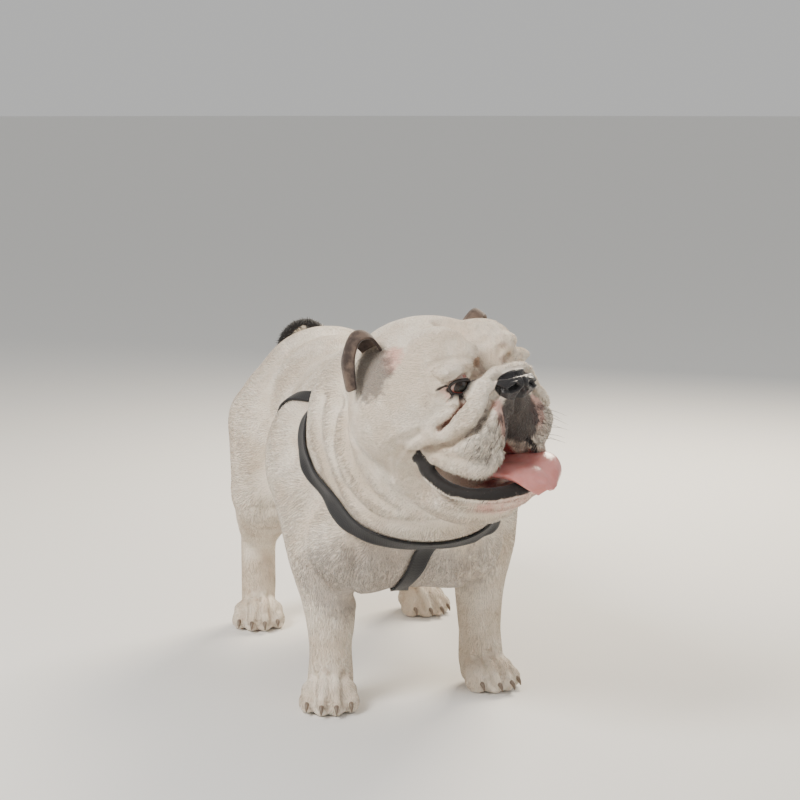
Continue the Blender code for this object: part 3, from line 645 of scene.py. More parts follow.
# %% Fine strokes
FINE_STROKES = (
    # nostrils, their rims and the groove between them
    (HEAD, ((0.0080, 0.130, 0.0170), (0.0115, 0.129, 0.0215), (0.0175, 0.126, 0.0200)), 0.0030, 0.0012, True),
    (HEAD, ((0.0100, 0.130, 0.0165), (0.0135, 0.128, 0.0140), (0.0175, 0.126, 0.0125)),
     0.0048, -0.0085, True),
    (HEAD, ((0.0175, 0.126, 0.0125), (0.0230, 0.121, 0.0130), (0.0275, 0.114, 0.0155)),
     0.0030, -0.0042, True),
    (HEAD, ((0, 0.131, 0.026), (0, 0.131, 0.016), (0, 0.129, 0.002)), 0.0026, -0.0020, False),
    # the roll hangs over the nose
    (HEAD, ((0.0290, 0.110, 0.0250), (0.0150, 0.118, 0.0285), (0, 0.120, 0.0290)), 0.0045, -0.0040, True),
    # the floors of the two great creases, and the roll between them
    (HEAD, ((0, 0.090, 0.036), (0.022, 0.090, 0.034), (0.038, 0.090, 0.020), (0.044, 0.090, 0.006),
            (0.048, 0.088, -0.008), (0.056, 0.080, -0.0166), (0.066, 0.068, -0.023)), 0.0042, -0.0040, True),
    (HEAD, ((0.028, 0.113, 0.012), (0.038, 0.106, -0.008), (0.047, 0.098, -0.024),
            (0.060, 0.080, -0.037), (0.068, 0.056, -0.042), (0.074, 0.036, -0.044)), 0.0042, -0.0035, True),
    (HEAD, ((0.020, 0.104, 0.028), (0.036, 0.101, 0.012), (0.044, 0.097, -0.007), (0.053, 0.088, -0.0215),
            (0.064, 0.064, -0.032)), 0.0065, 0.0018, True),
    # the floor of the stop
    (HEAD, ((0, 0.090, 0.034), (0, 0.086, 0.050), (0, 0.076, 0.066), (0.002, 0.060, 0.076)),
     0.0060, -0.0030, False),
    # pouch and creases below the eye
    (HEAD, ((0.034, 0.092, 0.016), (0.045, 0.090, 0.006), (0.060, 0.078, 0.006), (0.070, 0.062, 0.010)),
     0.0050, -0.0016, True),
    (HEAD, ((0.038, 0.093, 0.010), (0.048, 0.089, -0.001), (0.062, 0.076, -0.003)), 0.0050, -0.0012, True),
    # brow wrinkles above the eye
    (HEAD, ((0.024, 0.090, 0.038), (0.036, 0.084, 0.045), (0.052, 0.072, 0.044), (0.064, 0.058, 0.038)),
     0.0060, -0.0022, True),
    (HEAD, ((0.014, 0.086, 0.056), (0.026, 0.076, 0.066), (0.040, 0.058, 0.072)), 0.0055, 0.0020, True),
    (HEAD, ((0.008, 0.084, 0.062), (0.014, 0.066, 0.076), (0.020, 0.036, 0.082)), 0.0050, -0.0016, True),
    # creases of the cheek and behind the corner of the mouth
    (HEAD, ((0.070, 0.046, -0.030), (0.078, 0.030, -0.040), (0.080, 0.012, -0.058), (0.072, -0.004, -0.082)),
     0.0080, -0.0032, True),
    (HEAD, ((0.074, 0.052, -0.020), (0.084, 0.030, -0.026), (0.090, 0.008, -0.040)), 0.0080, 0.0018, True),
    # dimples where the whiskers grow
    (HEAD, ((0.036, 0.112, -0.020), (0.046, 0.104, -0.034)), 0.0040, -0.0008, True),
    (HEAD, ((0.030, 0.116, -0.026), (0.040, 0.110, -0.042)), 0.0040, -0.0008, True),
    (HEAD, ((0.022, 0.119, -0.030), (0.028, 0.116, -0.046)), 0.0040, -0.0008, True),
    # chin
    (HEAD, ((0, 0.128, -0.092), (0, 0.120, -0.108)), 0.0080, -0.0015, False),
)
run_strokes(flesh, FINE_STROKES)

# %% [markdown]
# Each eye opening is set out in angles round the eyeball. Skin inside the opening sinks behind the ball, and
# skin just outside it hugs the ball as the rim of a lid.

# %% Lids
OPENING_MIDDLE = 8
OPENING_HALF = 56
OPENING_HEIGHT = 33
OPENING_RISE = -14
OPENING_SLOPE = -6
LID_RIM = 0.0020
LID_SPREAD = 0.0065
LID_REACH = 0.026
BEHIND_BALL = 0.002
# how much of the way an eye faces is outward, and how much is forward
EYE_OUT, EYE_AHEAD = 0.496, 0.868


def head_places(points):
    """World points as left, forward and up in the head's frame."""
    m = np.array(TO_HEAD)
    places = points @ m[:3, :3].T + m[:3, 3]
    places[:, 1] *= -1
    return places


def opening_distance(places, side):
    """For each place: how far it lies outside the eye opening, measured on the eyeball, its distance from the
    ball's centre, and how far it is ahead of that centre."""
    away = places - np.array((side * EYE[0], EYE[1], EYE[2]))
    reach = np.maximum(np.linalg.norm(away, axis=1), 1e-6)
    forward = away @ np.array((side * EYE_OUT, EYE_AHEAD, 0))
    outward = away @ np.array((side * EYE_AHEAD, -EYE_OUT, 0))
    turn = np.degrees(np.arctan2(outward, forward))
    rise = np.degrees(np.arcsin(np.clip(away[:, 2] / reach, -1, 1)))
    across = (turn - OPENING_MIDDLE) / OPENING_HALF
    height = np.abs(rise - OPENING_RISE - OPENING_SLOPE * across)
    lid = OPENING_HEIGHT * np.sqrt(np.clip(1 - across ** 2, 0, 1))
    beyond = np.hypot(np.maximum(np.abs(across) - 1, 0) * OPENING_HALF, height)
    outside = np.where(np.abs(across) < 1, height - lid, beyond)
    return np.radians(outside) * EYE_RADIUS, reach, forward


def smooth_step(low, high, values):
    share = np.clip((values - low) / (high - low), 0, 1)
    return share * share * (3 - 2 * share)


def set_lids(mesh):
    points = mesh_array(mesh, "co")
    places = head_places(points)
    for side in (1, -1):
        outside, reach, forward = opening_distance(places, side)
        near = (reach < LID_REACH) & (forward > 0)
        rim = EYE_RADIUS + LID_RIM
        inner = EYE_RADIUS - BEHIND_BALL
        hugged = rim + (reach - rim) * smooth_step(0.0008, LID_SPREAD, outside)
        wanted = inner + (hugged - inner) * smooth_step(-0.0005, 0.0005, outside)
        centre = np.array(HEAD @ at(side * EYE[0], EYE[1], EYE[2]))
        points[near] = centre + (points[near] - centre) * (wanted[near] / reach[near])[:, None]
    set_places(mesh, points)


set_lids(flesh)
points = mesh_array(flesh, "co")
points[:, 2] = np.maximum(points[:, 2], 0)
set_places(flesh, points)
print("lids set")

# %% [markdown]
# The markings are attributes of the skin, each from 0 to 1: where a place lies near a named path or inside a
# named form. The coat's tufts take them over from the skin, so fur and skin agree.

# %% Markings
normals = mesh_array(flesh, "normal")
world = mesh_array(flesh, "co")
face = head_places(world)
marking_tree = surface_tree(flesh)
face_normals = (normals @ np.array(TO_HEAD)[:3, :3].T) * np.array((1, -1, 1))


def near_path(path, inner, outer, both=True):
    """1 on the skin within inner of the path, falling to 0 at outer. The path is first laid on the skin."""
    gap = path_distance(world, laid_on_skin(path))
    if both:
        gap = np.minimum(gap, path_distance(world, laid_on_skin(mirrored(path))))
    return 1 - smooth_step(inner, outer, gap)


def laid_on_skin(path):
    """The nearest places on the skin to a path in the head's frame."""
    line = [HEAD @ at(*p) for p in path]
    return np.array([marking_tree.find_nearest(p)[0] for p in resampled(line, 0.003)])


def in_ball(places, centre, radii, soft=0.25):
    """1 inside the ellipsoid, falling to 0 at soft times its size beyond."""
    size = np.linalg.norm((places - np.array(centre)) / np.array(radii), axis=1)
    return 1 - smooth_step(1, 1 + soft, size)


def pair_ball(places, centre, radii, soft=0.25):
    """The same on both sides of the head."""
    left, forward, up = centre
    other = in_ball(places, (-left, forward, up), radii, soft)
    return np.maximum(in_ball(places, centre, radii, soft), other)


TAIL_STRIPE = ((0.004, -0.270, 0.374), (-0.012, -0.277, 0.380), (-0.030, -0.271, 0.372),
               (-0.046, -0.262, 0.356))
TEAR_LINE = ((0.034, 0.091, 0.024), (0.040, 0.092, 0.017), (0.043, 0.090, 0.010), (0.045, 0.090, 0.0025),
             (0.048, 0.088, -0.008), (0.056, 0.080, -0.0166), (0.064, 0.070, -0.022))
ROLL_CREASE = ((0.028, 0.113, 0.012), (0.038, 0.106, -0.008), (0.047, 0.098, -0.024),
               (0.060, 0.080, -0.037), (0.068, 0.056, -0.042), (0.074, 0.036, -0.044))
STOP_CREASE = ((0.030, 0.090, 0.028), (0.016, 0.090, 0.035), (0, 0.090, 0.036), (0, 0.086, 0.050))
LID_LINE = ((0.064, 0.066, 0.0150), (0.058, 0.076, 0.0185), (0.049, 0.085, 0.0275), (0.040, 0.090, 0.0270),
            (0.033, 0.092, 0.0220))
FLEW_LINE = ((0.058, 0.036, -0.049), (0.066, 0.060, -0.062), (0.060, 0.086, -0.071), (0.043, 0.104, -0.075),
             (0.030, 0.112, -0.063), (0.012, 0.120, -0.048))

def rise_over(line, reach):
    """How high each place of the face within reach of the line lies over the line's nearest place."""
    places = head_places(np.array(resampled([Vector(p) for p in line], 0.003)))
    near = np.where(path_distance(world, line) < reach)[0]
    gaps = ((face[near][:, None] - places[None]) ** 2).sum(2)
    rise = np.full(len(face), -1.0)
    rise[near] = face[near][:, 2] - places[np.argmin(gaps, 1)][:, 2]
    return rise


lip_line = np.array([HEAD @ at(*p) for p in LOWER_LIP + mirrored(LOWER_LIP[-2::-1])])
to_lip = path_distance(world, lip_line)
in_mouth = in_ball(face, (0, 0.058, -0.070), (0.066, 0.064, 0.036), 0.15)
to_mouth = np.array((0, 0.056, -0.074)) - face
to_mouth /= np.maximum(np.linalg.norm(to_mouth, axis=1), 1e-6)[:, None]
facing = (face_normals * to_mouth).sum(1)
facing_mouth = smooth_step(0.05, 0.45, facing)
# painted shade in the valley of the furrow down the forehead
furrow = in_ball(face, (0, 0.082, 0.056), (0.02, 0.03, 0.022), 0.4)
furrow *= 1 - smooth_step(0.0010, 0.0065, np.abs(face[:, 0]))
nose_pad = in_ball(face, (0, 0.120, 0.0155), (0.030, 0.019, 0.0150), 0.10)
nose_pad *= smooth_step(0.104, 0.109, face[:, 1])
eye_rims = 0.8 * near_path(LID_LINE, 0.0006, 0.0030)
for side in (1, -1):
    outside, reach, forward = opening_distance(face, side)
    rim = (1 - smooth_step(0.0014, 0.0034, outside)) * (reach < 0.024) * (forward > 0)
    eye_rims = np.maximum(eye_rims, rim)
lower_lip = 1 - smooth_step(0.0115, 0.0135, to_lip)
lower_lip *= smooth_step(-0.0060, -0.0005, rise_over(lip_line, 0.016))
lower_lip *= 1 - 0.9 * smooth_step(0.80, 0.95, facing)
MARKINGS = {
    "pad": nose_pad,
    "mouth": in_mouth * facing_mouth * (1 - 0.8 * lower_lip),
    "lips": np.maximum(lower_lip, near_path(FLEW_LINE, 0.0015, 0.0050) * 0.8),
    "rims": eye_rims,
    "muzzle": np.maximum.reduce([
        in_ball(face, (0, 0.120, -0.022), (0.022, 0.028, 0.030), 0.40),
        0.42 * pair_ball(face, (0.034, 0.106, -0.036), (0.024, 0.024, 0.024), 0.5),
        0.6 * pair_ball(face, (0.035, 0.110, -0.0285), (0.0045, 0.008, 0.004), 0.9),
        0.6 * pair_ball(face, (0.030, 0.113, -0.0130), (0.0040, 0.008, 0.004), 0.9)]),
    "pink": np.maximum.reduce([
        0.8 * pair_ball(face, (0.027, 0.114, -0.016), (0.006, 0.012, 0.014), 0.9),
        0.6 * in_ball(face, (0, 0.105, -0.104), (0.044, 0.034, 0.014), 0.5),
        0.75 * pair_ball(face, (0.073, 0.012, 0.048), (0.008, 0.008, 0.010), 1.6),
        0.45 * near_path(TEAR_LINE, 0.003, 0.009),
        0.6 * pair_ball(face, (0.056, 0.082, 0.013), (0.009, 0.012, 0.006), 0.9)]),
    "rust": np.maximum(near_path(TEAR_LINE, 0.0022, 0.0068), 0.2 * near_path(ROLL_CREASE, 0.001, 0.0045)),
    # the creases of the face darkened: partly the brown stain in the skin's folds, partly painted shade
    "fold": np.maximum.reduce([
        0.6 * near_path(ROLL_CREASE, 0.001, 0.0045),
        0.8 * near_path(STOP_CREASE, 0.002, 0.0080),
        0.6 * furrow]),
    "philtrum": in_ball(face, (0, 0.120, -0.041), (0.0035, 0.012, 0.005), 0.6),
    "smudge": np.maximum(in_ball(face, (-0.024, 0.089, 0.038), (0.005, 0.008, 0.004), 1.0),
                         0.35 * in_ball(face, (0.026, 0.089, 0.038), (0.004, 0.008, 0.003), 1.0)),
    "earside": pair_ball(face, (0.084, -0.010, 0.034), (0.014, 0.016, 0.020), 1.3),
    "grey": np.maximum.reduce([
        0.8 * in_ball(world, tuple(at(-0.030, 0.200, 0.150)), (0.080, 0.070, 0.045), 0.6),
        0.6 * in_ball(world, tuple(at(0.060, 0.180, 0.150)), (0.050, 0.060, 0.045), 0.6),
        0.5 * in_ball(world, tuple(at(0.0, 0.000, 0.130)), (0.080, 0.160, 0.040), 0.5)]),
    "tailtip": 1 - smooth_step(0.0095, 0.0135, path_distance(world, np.array([at(*p) for p in TAIL_STRIPE]))),
}
legs = 1 - smooth_step(0.120, 0.200, world[:, 2])
head_gap = np.linalg.norm((world - np.array(HEAD_CENTRE)) / np.array((0.100, 0.110, 0.110)), axis=1)
on_head = (1 - smooth_step(0.95, 1.35, head_gap)) * smooth_step(-0.075, -0.045, face[:, 1])
bare = np.maximum.reduce([MARKINGS["pad"], MARKINGS["mouth"], lower_lip, MARKINGS["rims"],
                          0.8 * MARKINGS["philtrum"]])
print("markings", list(MARKINGS))

# %% [markdown]
# The coat lies along a flow: back from the nose on the head, back and down on the trunk, down on the legs.
# The skin then sinks under the coat's depth, which is least on the face and the feet.

# %% Flow of the coat
FLOW_BODY = np.array((0, 1, -0.35))
FLOW_LEG = np.array((0, 0.15, -1))
NOSE_TIP = np.array(HEAD @ at(0, 0.135, 0.012))
COAT_DEPTH = 0.0012
FACE_COAT_DEPTH = 0.0005


def unit(vectors):
    return vectors / np.maximum(np.linalg.norm(vectors, axis=1), 1e-9)[:, None]


from_nose = unit(world - NOSE_TIP)
flow = FLOW_BODY * (1 - on_head - legs * (1 - on_head))[:, None]
flow = flow + FLOW_LEG * (legs * (1 - on_head))[:, None] + from_nose * on_head[:, None]
flow = unit(flow - normals * (flow * normals).sum(1)[:, None])
depth = COAT_DEPTH + (FACE_COAT_DEPTH - COAT_DEPTH) * np.maximum(on_head, legs * 0.6)
depth = depth * (1 - bare)
sunk = world - normals * depth[:, None]
sunk[:, 2] = np.maximum(sunk[:, 2], 0.0002)
set_places(flesh, sunk)
print("coat depth mm", round(1000 * float(depth.max()), 2))

# %% [markdown]
# The skin is unwrapped by its own shape: the head as a disc seen from the nose, the trunk as a rolled sheet
# round the spine and each leg as one round its bone. Every tuft's colour will be found at its root there.

# %% Unwrap of the skin
LEG_CENTRES = [at(-0.092, 0.150, 0.10), at(0.106, 0.125, 0.10),
               at(-0.096, -0.180, 0.10), at(0.112, -0.185, 0.10)]
LEG_TOP = 0.16
TRUNK_HALF_LENGTH = 0.32
HEAD_DISC = (0.25, 0.75, 0.23)
TRUNK_SHEET = (0.52, 0.52, 0.46, 0.46)
LEG_SHEET = (0.22, 0.44)


def disc_map(places):
    """Places in the head's frame, as angle round the forward axis and angle away from it."""
    away = places - np.array((0, 0.02, 0))
    tilt = np.arccos(np.clip(away[:, 1] / np.maximum(np.linalg.norm(away, axis=1), 1e-6), -1, 1)) / math.pi
    turn = np.arctan2(away[:, 2], away[:, 0])
    across, up, radius = HEAD_DISC
    return np.stack([across + radius * tilt * np.cos(turn), up + radius * tilt * np.sin(turn)], 1)


def rolled_map(across, deep, along, middle_turn, low, high, sheet_box):
    """A rolled sheet: the angle of (across, deep) by the distance along, laid in a box of the map."""
    turn = np.arctan2(deep, across)
    turn = middle_turn + (turn - middle_turn + math.pi) % (2 * math.pi) - math.pi
    left, bottom, width, height = sheet_box
    up = bottom + height * (along - low) / (high - low)
    return np.stack([left + width * (turn / (2 * math.pi) + 0.5), up], 1)


def skin_map(mesh):
    """The map of every face corner, with each face wholly on one sheet."""
    points = mesh_array(mesh, "co")
    corners = np.empty(len(mesh.loops), np.int32)
    mesh.loops.foreach_get("vertex_index", corners)
    totals = np.empty(len(mesh.polygons), np.int32)
    mesh.polygons.foreach_get("loop_total", totals)
    owner = np.repeat(np.arange(len(totals)), totals)
    centres = np.stack([np.bincount(owner, points[corners][:, k]) / totals for k in range(3)], 1)
    spot, middle = points[corners], centres[owner]
    spine = at(0.002, 0, 0.270)
    round_spine = np.arctan2(middle[:, 2] - spine.z, middle[:, 0] - spine.x)
    result = rolled_map(spot[:, 0] - spine.x, spot[:, 2] - spine.z, spot[:, 1], round_spine,
                        -TRUNK_HALF_LENGTH, TRUNK_HALF_LENGTH, TRUNK_SHEET)
    for k, centre in enumerate(LEG_CENTRES):
        chosen = (middle[:, 2] < 0.15) & (np.abs(middle[:, :2] - np.array(centre)[:2]).max(1) < 0.075)
        round_leg = np.arctan2(middle[:, 1] - centre.y, middle[:, 0] - centre.x)
        sheet_box = (0.015 + 0.245 * k, 0.02, *LEG_SHEET)
        leg_places = rolled_map(spot[:, 0] - centre.x, spot[:, 1] - centre.y, spot[:, 2], round_leg,
                                0, LEG_TOP, sheet_box)
        result[chosen] = leg_places[chosen]
    head_middle = head_places(middle)
    chosen = np.linalg.norm(head_middle / np.array((0.11, 0.14, 0.13)), axis=1) < 1
    chosen &= head_middle[:, 1] > -0.045
    result[chosen] = disc_map(head_places(spot))[chosen]
    return np.clip(result, 0.001, 0.999)


uv = skin_map(flesh)
layer = flesh.uv_layers.new(name="OFBake")
layer.data.foreach_set("uv", uv.astype(np.float32).ravel())
print("unwrap", uv.min(0).round(3), uv.max(0).round(3))

# %% [markdown]
# What is known about a place on the skin is stored there as attributes: its markings, the length of the coat
# and the way it lies. Materials and Geometry Nodes both read attributes, so nothing is painted twice.

# %% Attributes on the skin
def add_attribute(mesh, name, values):
    attribute = mesh.attributes.new(name, "FLOAT", "POINT")
    attribute.data.foreach_set("value", values.astype(np.float32))


for name, values in MARKINGS.items():
    add_attribute(flesh, name, np.clip(values, 0, 1))
length = 0.0085 + (0.0036 - 0.0085) * on_head + (0.0060 - 0.0085) * legs * (1 - on_head)
length *= 0.75 + 0.25 * smooth_step(0.02, 0.08, world[:, 2])
add_attribute(flesh, "length", length)
attribute = flesh.attributes.new("flow", "FLOAT_VECTOR", "POINT")
attribute.data.foreach_set("vector", flow.astype(np.float32).ravel())
flesh.shade_smooth()

# %% [markdown]
# One skin takes the place of every node of flesh, so no seam shows. Its material is a long chain of nodes, so
# these helpers write each node on a line: its kind, what is linked to it and its settings.

# %% Node helpers
def add_node(tree, kind, inputs=None, **settings):
    """Adds a node. An input is given as a socket, to be linked, or as a plain value."""
    made = tree.nodes.new(kind)
    for name, value in settings.items():
        setattr(made, name, value)
    for name, value in (inputs or {}).items():
        if isinstance(value, bpy.types.NodeSocket):
            tree.links.new(value, made.inputs[name])
        else:
            made.inputs[name].default_value = value
    return made


def attribute_value(tree, name):
    return add_node(tree, "ShaderNodeAttribute", attribute_name=name).outputs["Fac"]


def attribute_vector(tree, name):
    return add_node(tree, "ShaderNodeAttribute", attribute_name=name).outputs["Vector"]


def noise(tree, vector, scale, detail=3.0):
    inputs = {"Vector": vector, "Scale": scale, "Detail": detail, "Roughness": 0.6}
    return add_node(tree, "ShaderNodeTexNoise", inputs).outputs["Fac"]


def arithmetic(tree, operation, first, second):
    made = add_node(tree, "ShaderNodeMath", {0: first, 1: second}, operation=operation)
    return made.outputs["Value"]


def remap(tree, value, low, high, to_low=0.0, to_high=1.0):
    inputs = {"Value": value, "From Min": low, "From Max": high, "To Min": to_low, "To Max": to_high}
    made = add_node(tree, "ShaderNodeMapRange", inputs, interpolation_type="SMOOTHSTEP")
    return made.outputs["Result"]


def mixed(tree, factor, first, second):
    made = tree.nodes.new("ShaderNodeMix")
    made.data_type = "RGBA"
    for socket, value in ((made.inputs["Factor"], factor), (made.inputs[6], first), (made.inputs[7], second)):
        if isinstance(value, bpy.types.NodeSocket):
            tree.links.new(value, socket)
        elif isinstance(value, tuple):
            socket.default_value = (*value, 1)
        else:
            socket.default_value = value
    return made.outputs[2]


def new_material(name, **constants):
    """A Principled material. Each constant is the name of a shader input, with its spaces as underscores."""
    material = bpy.data.materials.new(name)
    material.use_nodes = True
    shader = material.node_tree.nodes["Principled BSDF"]
    for socket, value in constants.items():
        if isinstance(value, tuple):
            value = (*value, 1)
        shader.inputs[socket.replace("_", " ")].default_value = value
    return material, material.node_tree, shader


# %% [markdown]
# The coat is warm white, ticked with darker hairs, stained by tears below the eye and black at the lips. Its
# creases and the furrow of the forehead are darkened as well: partly the stain of the skin's folds, partly
# painted shade. Each colour is laid over the last where its marking and a noise together pass a threshold,
# which gives it the ragged edge that pigment has. The same colours go to the tufts of fur, read at their roots.

# %% Colours of the coat
COAT = (0.69, 0.575, 0.452)
COAT_LIGHT = (0.83, 0.738, 0.620)
TICKING = (0.36, 0.28, 0.22)
# marking, colour, ragged edge, strength
PIGMENTS_AND_CREASE_SHADE = (
    ("grey", (0.30, 0.25, 0.22), 1.8, 0.62),
    ("pink", (0.70, 0.38, 0.31), 1.3, 0.80),
    ("smudge", (0.30, 0.17, 0.095), 1.4, 0.8),
    ("earside", (0.15, 0.118, 0.098), 2.0, 0.78),
    # painted shade in the creases and the forehead furrow, with the brown stain of the skin's folds
    ("fold", (0.30, 0.21, 0.165), 0.5, 0.60),
    ("muzzle", (0.050, 0.040, 0.038), 1.5, 0.93),
    ("rust", (0.155, 0.055, 0.030), 0.9, 0.90),
    ("tailtip", (0.010, 0.008, 0.007), 0.25, 1.0),
    ("lips", (0.014, 0.011, 0.010), 1.2, 1.0),
    ("mouth", (0.33, 0.060, 0.050), 0.4, 1.0),
    ("philtrum", (0.13, 0.022, 0.022), 0.3, 0.9),
    ("rims", (0.020, 0.012, 0.010), 0.1, 1.0),
    ("pad", (0.020, 0.018, 0.019), 0.1, 1.0),
)


def coat_colour(tree):
    """The colour at the root of each hair, from the place of the root and the markings there."""
    root = attribute_vector(tree, "root")
    soft = noise(tree, root, 22.0)
    fine = noise(tree, root, 330.0, 4.0)
    ragged = noise(tree, root, 150.0, 4.0)
    colour = mixed(tree, remap(tree, soft, 0.35, 0.65), COAT, COAT_LIGHT)
    sparse = remap(tree, noise(tree, root, 30.0), 0.45, 0.70)
    ticks = arithmetic(tree, "MULTIPLY", remap(tree, fine, 0.60, 0.68), sparse)
    colour = mixed(tree, arithmetic(tree, "MULTIPLY", ticks, 0.55), colour, TICKING)
    for name, tint, edge, strength in PIGMENTS_AND_CREASE_SHADE:
        rough = arithmetic(tree, "MULTIPLY", arithmetic(tree, "SUBTRACT", ragged, 0.5), edge)
        mark = attribute_value(tree, name)
        inside = remap(tree, arithmetic(tree, "ADD", mark, rough), 0.15, 0.85)
        inside = arithmetic(tree, "MULTIPLY", inside, remap(tree, mark, 0.0, 0.06))
        colour = mixed(tree, arithmetic(tree, "MULTIPLY", inside, strength), colour, tint)
    return colour


def skin_bump(tree):
    """Fur lies in fine streaks, the nose is pebbled and bare skin is nearly smooth."""
    place = add_node(tree, "ShaderNodeTexCoord").outputs["Object"]
    streaks = add_node(tree, "ShaderNodeMapping", {"Vector": place, "Scale": (1.0, 0.28, 0.6)})
    fur = noise(tree, streaks.outputs["Vector"], 620.0, 3.0)
    pebbles = add_node(tree, "ShaderNodeTexVoronoi", {"Vector": place, "Scale": 620.0}).outputs["Distance"]
    pad = attribute_value(tree, "pad")
    blend = tree.nodes.new("ShaderNodeMix")
    tree.links.new(pad, blend.inputs["Factor"])
    tree.links.new(fur, blend.inputs[2])
    tree.links.new(pebbles, blend.inputs[3])
    bump = add_node(tree, "ShaderNodeBump", {
        "Height": blend.outputs[0], "Strength": 0.35, "Distance": 0.0012})
    return bump.outputs["Normal"]


def skin_material():
    material, tree, shader = new_material("skin", Sheen_Weight=0.25, Sheen_Roughness=0.45,
                                          Specular_IOR_Level=0.35, Subsurface_Weight=0.06,
                                          Subsurface_Scale=0.004)
    tree.links.new(coat_colour(tree), shader.inputs["Base Color"])
    tree.links.new(skin_bump(tree), shader.inputs["Normal"])
    wet = arithmetic(tree, "MAXIMUM", attribute_value(tree, "pad"), attribute_value(tree, "mouth"))
    wet = arithmetic(tree, "MAXIMUM", wet, attribute_value(tree, "rims"))
    bare = arithmetic(tree, "MAXIMUM", wet, attribute_value(tree, "lips"))
    gloss = arithmetic(tree, "MAXIMUM", arithmetic(tree, "MULTIPLY", bare, 0.30), wet)
    tree.links.new(remap(tree, gloss, 0.0, 1.0, 0.82, 0.24), shader.inputs["Roughness"])
    return material


def add_piece(name, mesh, material, *nodes):
    """A finished piece of the model. It rides on the one body and takes the place of the named solids."""
    mesh.transform(HOME)
    mesh.name = name
    mesh.materials.clear()
    mesh.materials.append(material)
    mesh.shade_smooth()
    obj = new_object(name, mesh)
    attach(obj, "root")
    if nodes:
        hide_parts(*nodes)
    return obj


FLESH_NODES = ("head", "lower_jaw", "neck", "chest", "loin", "tail", "leg_front_left", "leg_front_right",
               "leg_hind_left", "leg_hind_right")
root = flesh.attributes.new("root", "FLOAT_VECTOR", "POINT")
root.data.foreach_set("vector", mesh_array(flesh, "co").astype(np.float32).ravel())
COAT_SOURCE = flesh.copy()
skin = add_piece("skin", flesh, skin_material(), *FLESH_NODES)
print("skin triangles", sum(len(p.vertices) - 2 for p in flesh.polygons))

# %% [markdown]
# Short fur is thousands of small locks that overlap. They could be hair curves, but those don't stay as plain
# mesh, so Geometry Nodes set small blades of mesh instead. They are scattered over the skin, turned to lie
# along the flow and scaled to the length of the coat there. Each keeps its root's place on the unwrap.

# %% Tuft
def tuft_blade():
    """A thin lock of fur one unit long and wide: pointed at both ends, a low ridge along its back."""
    places = [(-0.10, 0, -0.35), (0.28, -0.5, 0), (0.28, 0.5, 0), (0.30, 0, 0.55), (0.95, 0, 0.12)]
    faces = [(0, 2, 1), (0, 1, 3), (0, 3, 2), (4, 1, 2), (4, 3, 1), (4, 2, 3)]
    mesh = bpy.data.meshes.new("tuft")
    mesh.from_pydata(places, [], faces)
    blade = mesh.attributes.new("blade", "FLOAT_VECTOR", "POINT")
    blade.data.foreach_set("vector", np.array(places, np.float32).ravel())
    mesh.shade_smooth()
    return new_object("tuft", mesh)


PATCH = 0.003
BLADE_MIDDLE = (0.45, 0, 0)
SWAY = 0.20
HIGHEST_DENSITY = 1200000.0
COAT_INPUTS = (("Where", "String"), ("Spacing", "Float"), ("Width", "Float"), ("Seed", "Int"),
               ("Tuft", "Object"), ("Finish", "Material"))


def new_coat_tree():
    tree = bpy.data.node_groups.new("coat", "GeometryNodeTree")
    tree.interface.new_socket("Geometry", in_out="INPUT", socket_type="NodeSocketGeometry")
    for name, kind in COAT_INPUTS:
        tree.interface.new_socket(name, in_out="INPUT", socket_type="NodeSocket" + kind)
    tree.interface.new_socket("Geometry", in_out="OUTPUT", socket_type="NodeSocketGeometry")
    return tree


def scattered(tree, given):
    """Points where fur grows, each with its root's place on the unwrap, and the skin's normal there."""
    scatter = add_node(tree, "GeometryNodeDistributePointsOnFaces", {
        "Mesh": given["Geometry"], "Distance Min": given["Spacing"], "Density Max": HIGHEST_DENSITY,
        "Density Factor": named(tree, "FLOAT", given["Where"]), "Seed": given["Seed"]},
        distribute_method="POISSON")
    spot = named(tree, "FLOAT_VECTOR", "OFBake")
    points = stored(tree, scatter.outputs["Points"], "root_uv", spot, "POINT")
    bare_points = add_node(tree, "GeometryNodeRemoveAttribute", {"Geometry": points, "Name": "OFBake"})
    shade = random_between(tree, 0.0, 1.0, 7)
    return stored(tree, bare_points.outputs[0], "shade", shade, "POINT", "FLOAT"), scatter.outputs["Normal"]


def laid_down(tree, normal):
    """The turn of each tuft: upright on the skin, then tipped to point along the flow with a little sway."""
    sway = add_node(tree, "FunctionNodeRandomValue", {
        0: (-SWAY, -SWAY, -SWAY), 1: (SWAY, SWAY, SWAY), "Seed": 3}, data_type="FLOAT_VECTOR")
    lay = vector_math(tree, "ADD", named(tree, "FLOAT_VECTOR", "flow"), sway.outputs[0])
    upright = add_node(tree, "FunctionNodeAlignRotationToVector", {"Vector": normal}, axis="Z")
    along = add_node(tree, "FunctionNodeAlignRotationToVector", {
        "Rotation": upright.outputs[0], "Vector": lay}, axis="X", pivot_axis="Z")
    return along.outputs[0]


def tuft_size(tree, width):
    """A tuft is as long as the coat is there, some shorter and some longer, and as wide as asked."""
    reach = arithmetic(tree, "MULTIPLY", named(tree, "FLOAT", "length"), random_between(tree, 0.7, 1.25, 5))
    return add_node(tree, "ShaderNodeCombineXYZ", {"X": reach, "Y": width, "Z": width}).outputs[0]


def root_patch(tree):
    """The tuft's own small patch of the unwrap, round the place of its root."""
    centred = vector_math(tree, "SUBTRACT", named(tree, "FLOAT_VECTOR", "blade"), BLADE_MIDDLE)
    patch = vector_math(tree, "MULTIPLY", centred, (PATCH, PATCH, 0))
    return vector_math(tree, "ADD", named(tree, "FLOAT_VECTOR", "root_uv"), patch)


